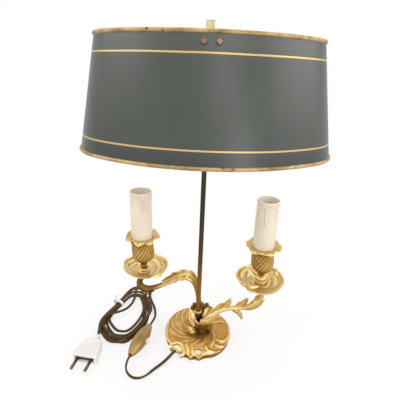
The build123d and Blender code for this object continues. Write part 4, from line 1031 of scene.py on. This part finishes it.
def makeCandle(side, light):
    x, y = light
    size = candle
    top, bottom, outer = size["top"], size["bottom"], size["radius"]
    fineFrom = bottom + size["rows"] * size["rowStep"]
    rows = [bottom + size["rowStep"] * step for step in range(size["rows"])]
    rows += [fineFrom + size["fineStep"] * step for step in range(size["fineRows"])]
    profile = [(outer, z) for z in rows if z < top - size["lipDepth"]]
    profile += [(outer - inset, top - down) for inset, down in size["lip"]]
    profile.append((size["bore"], bottom))
    sleeve = spunShell(f"{side}Candle", profile, size["sides"], x=x, y=y)
    runs = [rib(width, width, height, *[(math.radians(a) * outer, d) for a, d in path],
                curve=0.8, fade=(0.12, 0.05)) for width, height, *path in drips[side]]

    def wax(radius, angle, height):
        front = np.radians((angle - 270 + 180) % 360 - 180)
        lift = highestRib(front * outer, top - height, runs)
        outside = radius > size["bore"] + 0.7
        uneven = size["uneven"] * np.sin(front * 3 + height * 0.11)
        return radius + np.where(outside, lift + uneven, 0), angle, height

    polarSculpt(sleeve, x, y, wax)
    editMesh(sleeve, 'SELECT')
    bpy.ops.mesh.region_to_loop()
    bpy.ops.mesh.bridge_edge_loops()
    leaveEdit()
    tidyMesh(sleeve)
    softShade(sleeve, 40)
    # the drips' hollows and crests are marked for painted shadow and painted highlight
    markHollowsAndShade(sleeve, rounds=4, depth=0.25, under=0.0)
    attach(sleeve, "lamp")
    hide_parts(f"{side}_candle_sleeve")
    return sleeve


class Port:
    # a node's output socket, so that arithmetic on it adds Math nodes
    def __init__(self, finish, socket):
        self.finish, self.socket = finish, socket

    def math(self, operation, *others):
        return self.finish.add('ShaderNodeMath', {"operation": operation},
                               dict(enumerate((self, *others))))

    def __add__(self, other):
        return self.math('ADD', other)

    def __sub__(self, other):
        return self.math('SUBTRACT', other)

    def __rsub__(self, other):
        return self.finish.add('ShaderNodeMath', {"operation": 'SUBTRACT'}, {0: other, 1: self})

    def __mul__(self, other):
        return self.math('MULTIPLY', other)

    def __mod__(self, other):
        return self.math('FLOORED_MODULO', other)

    __radd__, __rmul__ = __add__, __mul__

    def size(self):
        return self.math('ABSOLUTE')

    def above(self, edge, soft):
        # 0 below an edge and 1 above it, with a soft step between them
        return self.finish.add('ShaderNodeMapRange', {"interpolation_type": 'SMOOTHSTEP'},
                               {"Value": self, "From Min": edge - soft, "From Max": edge + soft})

    def below(self, edge, soft):
        return 1.0 - self.above(edge, soft)

    def outputs(self):
        # all the outputs of the same node
        return [Port(self.finish, socket) for socket in self.socket.node.outputs]


class Finish:
    # the nodes of a new material, or of a tree that is there already
    def __init__(self, name=None, tree=None):
        if tree is None:
            self.material = bpy.data.materials.new(name)
            self.material.use_nodes = True
            tree = self.material.node_tree
            self.surface = Port(self, tree.nodes["Principled BSDF"].outputs[0])
        self.tree = tree

    def add(self, kind, settings=None, inputs=None, output=0):
        node = self.tree.nodes.new(kind)
        for key, value in (settings or {}).items():
            if key != "stops":
                setattr(node, key, value)
                continue
            for index, (place, colour) in enumerate(value):
                if index > 1:
                    node.color_ramp.elements.new(place)
                node.color_ramp.elements[index].position = place
                node.color_ramp.elements[index].color = (*colour, 1)
        self.feed(node, inputs or {})
        return Port(self, node.outputs[output])

    def feed(self, node, inputs):
        # a node's inputs take other nodes' outputs or plain values
        for key, value in inputs.items():
            if isinstance(value, Port):
                self.tree.links.new(value.socket, node.inputs[key])
            else:
                node.inputs[key].default_value = value

    def ramp(self, value, stops):
        return self.add('ShaderNodeValToRGB', {"stops": stops}, {0: value})

    def blend(self, share, first, second):
        first, second = [c if isinstance(c, Port) else (*c, 1) for c in (first, second)]
        return self.add('ShaderNodeMix', {"data_type": 'RGBA'}, {0: share, 6: first, 7: second},
                        output=2)

    def objectPlace(self):
        return self.add('ShaderNodeTexCoord', output=3)

    def split(self, vector):
        return self.add('ShaderNodeSeparateXYZ', None, {0: vector}).outputs()

    def squashed(self, place, upright):
        # the same place with a pattern drawn out along z
        return self.add('ShaderNodeMapping', None, {"Vector": place, "Scale": (1, 1, upright)})

    def noise(self, place, scale, detail, rough):
        return self.add('ShaderNodeTexNoise', None, {"Vector": place, "Scale": scale,
                                                     "Detail": detail, "Roughness": rough})

    def bump(self, height, distance, strength):
        return self.add('ShaderNodeBump', None,
                        {"Height": height, "Distance": distance * mm, "Strength": strength})

    def set(self, **values):
        names = {"colour": "Base Color", "roughness": "Roughness", "metallic": "Metallic",
                 "normal": "Normal", "coat": "Coat Weight", "specular": "Specular IOR Level"}
        self.feed(self.surface.socket.node,
                  {names[key]: (*value, 1) if isinstance(value, tuple) else value
                   for key, value in values.items()})
        return self.material


def cloudy(name, scale, detail, rough):
    # a finish, the place of each of its points, and the noise that it varies by
    finish = Finish(name)
    place = finish.objectPlace()
    return finish, place, finish.noise(place, scale, detail, rough)


# the gilding's colour on its crests, on its plain field, and in its hollows and painted shade
gilding = {
    "giltBrass": ((0.80, 0.59, 0.28), (0.50, 0.28, 0.066), (0.17, 0.073, 0.013)),
    "giltWarm": ((0.74, 0.545, 0.235), (0.51, 0.315, 0.078), (0.16, 0.078, 0.014)),
    "giltPale": ((0.84, 0.66, 0.33), (0.56, 0.345, 0.088), (0.18, 0.088, 0.017))}


def giltBrass(name):
    # fire-gilt casting: bright on its crests, browned in its hollows, darkened as painted shade
    # where the attribute marks undersides and recesses, a little grainy
    gold = gilding[name]
    finish, place, cloud = cloudy(name, 110.0, 4.0, 0.6)
    hollowAndShade = finish.add('ShaderNodeAttribute', {"attribute_name": "hollowAndShade"}, output=2)
    patch = finish.noise(place, 32.0, 3.0, 0.55)
    grain = finish.noise(place, 900.0, 2.0, 0.5)
    wornAndShaded = hollowAndShade + (cloud - 0.5) * 0.3 + (patch - 0.5) * 0.3
    colour = finish.ramp(wornAndShaded, list(zip((0.25, 0.52, 0.92), gold)))
    rough = 0.42 + wornAndShaded.above(0.6, 0.25) * 0.18 + (cloud - 0.5) * 0.12
    return finish.set(colour=colour, metallic=0.85, roughness=rough,
                      normal=finish.bump(grain + cloud * 0.8, 0.12, 0.5))


def plainGilt():
    # the same gilding for the lamp's plain turned pieces
    finish, _, cloud = cloudy("plainGilt", 140.0, 4.0, 0.6)
    colour = finish.ramp(cloud, [(0.3, (0.45, 0.28, 0.10)), (0.7, (0.76, 0.56, 0.27))])
    return finish.set(colour=colour, metallic=0.8, roughness=0.34 + cloud * 0.16,
                      normal=finish.bump(cloud, 0.05, 0.4))


def rodShadedUpward():
    finish = Finish("rodShadedUpward")
    place = finish.objectPlace()
    height = finish.split(place)[2]
    cloud = finish.noise(finish.squashed(place, 0.2), 260.0, 4.0, 0.6)
    # orange-brown at the foot, darker higher up under the lampshade: painted shade
    up = (height * (1 / mm) - 70.0 + (cloud - 0.5) * 60.0) * (1 / 130.0)
    colour = finish.ramp(up.above(0.5, 0.5), [(0.0, (0.28, 0.115, 0.012)),
                                              (0.35, (0.10, 0.048, 0.016)),
                                              (1.0, (0.045, 0.033, 0.022))])
    return finish.set(colour=colour, metallic=0.8, roughness=0.36 + cloud * 0.12,
                      normal=finish.bump(cloud, 0.04, 0.5))


shadeLook = {"green": (0.052, 0.060, 0.048), "deeper": (0.039, 0.046, 0.038),
             # the painted shade at the foot and the painted light at the head: colour, from where,
             # and how much
             "foot": (0.018, 0.021, 0.018), "paintedShadeBelow": 283.0, "paintedShadeShare": 0.45,
             "head": (0.085, 0.09, 0.076), "paintedLightAbove": 366.0, "paintedLightShare": 0.4,
             "line": (0.62, 0.42, 0.16), "lines": (365.4, 285.2), "lineWidth": 1.5,
             "inside": (0.80, 0.76, 0.66)}


def shadePaint():
    # dark green paint outside with two gilt lines, cream inside; painted shade darkens its foot
    # and painted light brightens its head
    look = shadeLook
    finish = Finish("shadePaint")
    place = finish.objectPlace()
    normal = finish.add('ShaderNodeTexCoord', output=1)
    x, y, z = finish.split(place)
    nx, ny, _ = finish.split(normal)
    outside = (x * nx + y * ny).above(0.0, 0.002)
    cloud = finish.noise(place, 14.0, 5.0, 0.6)
    fine = finish.noise(place, 420.0, 3.0, 0.6)
    streak = finish.noise(finish.squashed(place, 0.35), 60.0, 4.0, 0.65)
    wander = (finish.noise(place, 9.0, 2.0, 0.5) - 0.5) * 1.6
    height = z * (1 / mm) + wander
    upper, lower = [(height - level).size().below(look["lineWidth"] / 2, 0.25)
                    for level in look["lines"]]
    gilt = (upper + lower) * outside
    painted = finish.blend(cloud.above(0.5, 0.25), look["green"], look["deeper"])
    # painted shade towards the foot, painted light towards the head
    painted = finish.blend(height.below(look["paintedShadeBelow"], 5.0) * look["paintedShadeShare"], painted,
                           look["foot"])
    painted = finish.blend(height.above(look["paintedLightAbove"], 8.0) * look["paintedLightShare"], painted,
                           look["head"])
    gilded = finish.blend(gilt, painted, look["line"])
    colour = finish.blend(outside, look["inside"], gilded)
    rough = 0.36 + (streak - 0.5) * 0.2 + (1.0 - outside) * 0.3 + gilt * 0.05
    return finish.set(colour=colour, roughness=rough, metallic=gilt * 0.5, specular=0.55,
                      normal=finish.bump(fine * 0.6 + streak * 0.8, 0.12, 0.35))


def giltBead():
    # rubbed gilding over dark paint, with dark nicks
    finish, place, cloud = cloudy("giltBead", 55.0, 5.0, 0.65)
    nick = finish.noise(place, 190.0, 3.0, 0.6)
    colour = finish.ramp(cloud, [(0.32, (0.22, 0.13, 0.05)), (0.5, (0.42, 0.28, 0.12)),
                                 (0.7, (0.58, 0.42, 0.21))])
    colour = finish.blend(nick.above(0.67, 0.03), colour, (0.06, 0.04, 0.025))
    return finish.set(colour=colour, metallic=0.62, roughness=0.36 + cloud * 0.2,
                      normal=finish.bump(nick, 0.1, 0.4))


def metal(name, colour, roughness, scale=300.0, metallic=0.95):
    finish, _, cloud = cloudy(name, scale, 4.0, 0.6)
    darker = tuple(c * 0.72 for c in colour)
    return finish.set(colour=finish.blend(cloud.above(0.5, 0.25), darker, colour),
                      metallic=metallic, roughness=roughness + (cloud - 0.5) * 0.15,
                      normal=finish.bump(cloud, 0.03, 0.4))


def switchGold():
    # lacquered gold, smooth, a little darker where hands have rubbed it
    finish, place, cloud = cloudy("switchGold", 45.0, 3.0, 0.5)
    fine = finish.noise(place, 600.0, 2.0, 0.5)
    colour = finish.blend(cloud.above(0.5, 0.25), (0.36, 0.225, 0.075), (0.44, 0.29, 0.11))
    return finish.set(colour=colour, metallic=0.75, roughness=0.38 + (cloud - 0.5) * 0.06,
                      normal=finish.bump(fine, 0.008, 0.2))


def plastic(name, colour, roughness, grain=500.0, coat=0.0):
    finish, place, cloud = cloudy(name, grain, 3.0, 0.5)
    soft = finish.noise(place, 60.0, 2.0, 0.5)
    dimmer = tuple(c * 0.93 for c in colour)
    return finish.set(colour=finish.blend(soft.above(0.5, 0.2), dimmer, colour),
                      roughness=roughness + (cloud - 0.5) * 0.1, coat=coat,
                      normal=finish.bump(cloud, 0.02, 0.5))


def candleCard():
    finish, place, cloud = cloudy("candleCard", 45.0, 4.0, 0.6)
    fine = finish.noise(place, 700.0, 2.0, 0.5)
    hollowAndShade = finish.add('ShaderNodeAttribute', {"attribute_name": "hollowAndShade"}, output=2)
    colour = finish.ramp(cloud, [(0.3, (0.72, 0.61, 0.48)), (0.7, (0.79, 0.69, 0.56))])
    # painted shadow along the drips' hollows and painted highlight on their crests
    colour = finish.blend(hollowAndShade.above(0.62, 0.1) * 0.45, colour, (0.52, 0.40, 0.28))
    colour = finish.blend(hollowAndShade.below(0.35, 0.1) * 0.5, colour, (0.86, 0.78, 0.66))
    return finish.set(colour=colour, roughness=0.42, normal=finish.bump(fine, 0.04, 0.4))


def silkFlex():
    # dark brown silk. Its gold threads follow a map named alongAround, which no piece has yet
    finish, _, cloud = cloudy("silkFlex", 120.0, 3.0, 0.6)
    spot = finish.add('ShaderNodeUVMap', {"uv_map": "alongAround"})
    along, around, _ = finish.split(spot)
    threads = 14
    one = (along * 0.62 + around * threads) % 1.0
    other = (along * 0.62 - around * threads) % 1.0
    over = ((along * 0.31 + around * threads) % 1.0).above(0.5, 0.08)
    crest = 1.0 - (one - 0.5).size() * 2.0
    crossing = 1.0 - (other - 0.5).size() * 2.0
    weave = crest * over + crossing * (1.0 - over)
    gold = finish.blend(cloud.above(0.5, 0.2), (0.22, 0.135, 0.05), (0.31, 0.20, 0.08))
    colour = finish.blend((weave * (0.75 + 0.25 * over)).above(0.45, 0.35), (0.078, 0.045, 0.015),
                          gold)
    return finish.set(colour=colour, roughness=0.62, specular=0.2,
                      normal=finish.bump(weave, 0.25, 0.7))


def dressNodes(made):
    # every CAD node that shows takes a finish of its own
    finishes = {
        "plain": plainGilt(), "rod": rodShadedUpward(), "shade": shadePaint(), "bead": giltBead(),
        "copper": metal("copperHead", (0.26, 0.155, 0.105), 0.3),
        "brass": metal("plainBrass", (0.72, 0.52, 0.22), 0.3),
        "pale": metal("paleBrass", (0.66, 0.57, 0.33), 0.3),
        "steel": metal("plainSteel", (0.5, 0.49, 0.47), 0.35),
        "pin": metal("pinBrass", (0.24, 0.145, 0.075), 0.4),
        "gold": switchGold(),
        "white": plastic("plugWhite", (0.80, 0.77, 0.76), 0.36),
        "key": plastic("keyWhite", (0.80, 0.76, 0.72), 0.4),
        "black": plastic("plugBlack", (0.018, 0.02, 0.024), 0.45),
        "holder": plastic("holderPlastic", (0.50, 0.46, 0.40), 0.5),
        "bush": plastic("paleBush", (0.62, 0.68, 0.58), 0.25, coat=0.3),
        "wire": plastic("wireCover", (0.35, 0.27, 0.16), 0.5)}
    wear = {
        # the post, deep in the calyx, wears the dark pin brass as painted shade
        "rod_post": "pin", "collar_ring": "plain", "rod": "rod", "shade_body": "shade",
        "shade_top_bead": "bead", "shade_bottom_bead": "bead", "shade_bridge": "pale",
        "square_slide": "pale", "bridge_screws": "copper", "bridge_nuts": "brass",
        "thumb_screw": "brass", "post_nut": "steel", "arm_root_nuts": "steel",
        "cup_nuts": "steel", "terminal_block": "holder", "supply_lead": "wire",
        "left_arm_wire": "wire", "right_arm_wire": "wire", "switch_upper_shell": "gold",
        "switch_lower_shell": "gold", "switch_screws": "steel", "switch_bar": "key",
        "plug_body": "white", "plug_insert": "black", "plug_pins": "pin",
        "cable_grommet": "bush"}
    for side in ("left", "right"):
        wear.update({f"{side}_nipple": "brass", f"{side}_lampholder": "holder",
                     f"{side}_screw_shell": "brass", f"{side}_centre_contact": "brass"})
    for node, choice in wear.items():
        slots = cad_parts[node].material_slots
        if not slots:
            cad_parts[node].data.materials.append(finishes[choice])
        for slot in slots:
            slot.material = finishes[choice]
    for pieces, finish in made:
        for piece in pieces:
            piece.data.materials.clear()
            piece.data.materials.append(finish)
    print("finishes given")


studio = {"world": 0.62, "backdrop": 1.0, "floor": (0.88, 0.88, 0.88), "floorSize": 8,
          # how much of the floor that is seen is plain white beside the lamp, and about how
          # many metres from it all of it is
          "nearWhite": 0.74, "whiteFrom": 0.35, "aim": (0, 0, 0.2),
          # each light's place, size and power, in metres and watts
          "lamps": {"sideRight": ((1.6, -0.5, 1.1), (1.3, 1.0), 10.0),
                    "sideLeft": ((-1.5, -0.5, 1.4), (1.4, 1.0), 12.0),
                    "front": ((0.4, -1.7, 1.3), (0.6, 1.0), 5.0),
                    "window": ((0.68, -1.42, 0.25), (0.2, 0.5), 3.6),
                    "above": ((0.1, 0.3, 1.9), (1.4, 1.4), 11.0)}}
white = (1, 1, 1, 1)


def seenDirectly(finish):
    # 1 for what the camera sees, by itself or through metal and glass
    rays = finish.add('ShaderNodeLightPath').outputs()
    camera, glossy, through = [
        next(ray for ray in rays if ray.socket.name == name)
        for name in ("Is Camera Ray", "Is Glossy Ray", "Is Transmission Ray")]
    return camera.math('MAXIMUM', glossy).math('MAXIMUM', through)


def makeFloor():
    bpy.ops.mesh.primitive_plane_add(size=studio["floorSize"], location=(0, 0, 0))
    floor = bpy.context.object
    floor.name = "tableTop"
    finish = Finish("paleTable")
    finish.set(colour=studio["floor"], roughness=0.9, specular=0.0)
    glow = finish.add('ShaderNodeEmission', None, {"Color": white, "Strength": 1.0})
    seen = seenDirectly(finish)
    x, y, _ = finish.split(finish.objectPlace())
    away = (x * x + y * y).math('POWER', 0.5)
    near = studio["nearWhite"]
    share = seen * (near + (1 - near) * away.above(studio["whiteFrom"], 0.2))
    mix = finish.add('ShaderNodeMixShader', None, {0: share, 1: finish.surface, 2: glow})
    finish.feed(finish.tree.nodes["Material Output"], {"Surface": mix})
    floor.data.materials.append(finish.material)


def makeRoom():
    # it lights the lamp softly, and is plain white where it is seen
    world = bpy.data.worlds.new("paleRoom")
    bpy.context.scene.world = world
    world.use_nodes = True
    room = Finish(tree=world.node_tree)
    lit = Port(room, room.tree.nodes["Background"].outputs[0])
    room.feed(lit.socket.node, {"Color": white, "Strength": studio["world"]})
    bright = room.add('ShaderNodeBackground', None,
                      {"Color": white, "Strength": studio["backdrop"]})
    mix = room.add('ShaderNodeMixShader', None, {0: seenDirectly(room), 1: lit, 2: bright})
    room.feed(room.tree.nodes["World Output"], {"Surface": mix})


def makeLights():
    for name, (place, size, power) in studio["lamps"].items():
        bpy.ops.object.light_add(type='AREA', location=place)
        light = bpy.context.object
        light.name = name
        light.data.shape = 'RECTANGLE'
        light.data.size, light.data.size_y = size
        light.data.energy = power
        aim = Vector(studio["aim"]) - light.location
        light.rotation_euler = aim.to_track_quat('-Z', 'Y').to_euler()


makeCamera()
cords, coilTie = makeFlex()
deepGilt = [makeBase(), makeCalyx()]
warmGilt = [makeArm("leftScrollArm", leftArm, "left_arm"),
            makeArm("rightScrollArm", rightArm, "right_arm")]
paleGilt = []
lights = {"left": leftArm["light"], "right": rightArm["light"]}
candles = []
for side, pan, cup in (("left", leftPan, leftCup), ("right", rightPan, rightCup)):
    paleGilt.append(makePan(side, pan))
    warmGilt.append(makeCup(side, lights[side], cup))
    candles.append(makeCandle(side, lights[side]))
    print(f"{side} light made")
dressNodes([(cords, silkFlex()), (deepGilt, giltBrass("giltBrass")),
            (warmGilt, giltBrass("giltWarm")), (paleGilt, giltBrass("giltPale")),
            (candles, candleCard()),
            ([coilTie], plastic("tieWhite", (0.80, 0.78, 0.74), 0.42))])
makeFloor()
makeRoom()
makeLights()
bpy.context.scene.view_settings.view_transform = 'Standard'
print("table and light made")
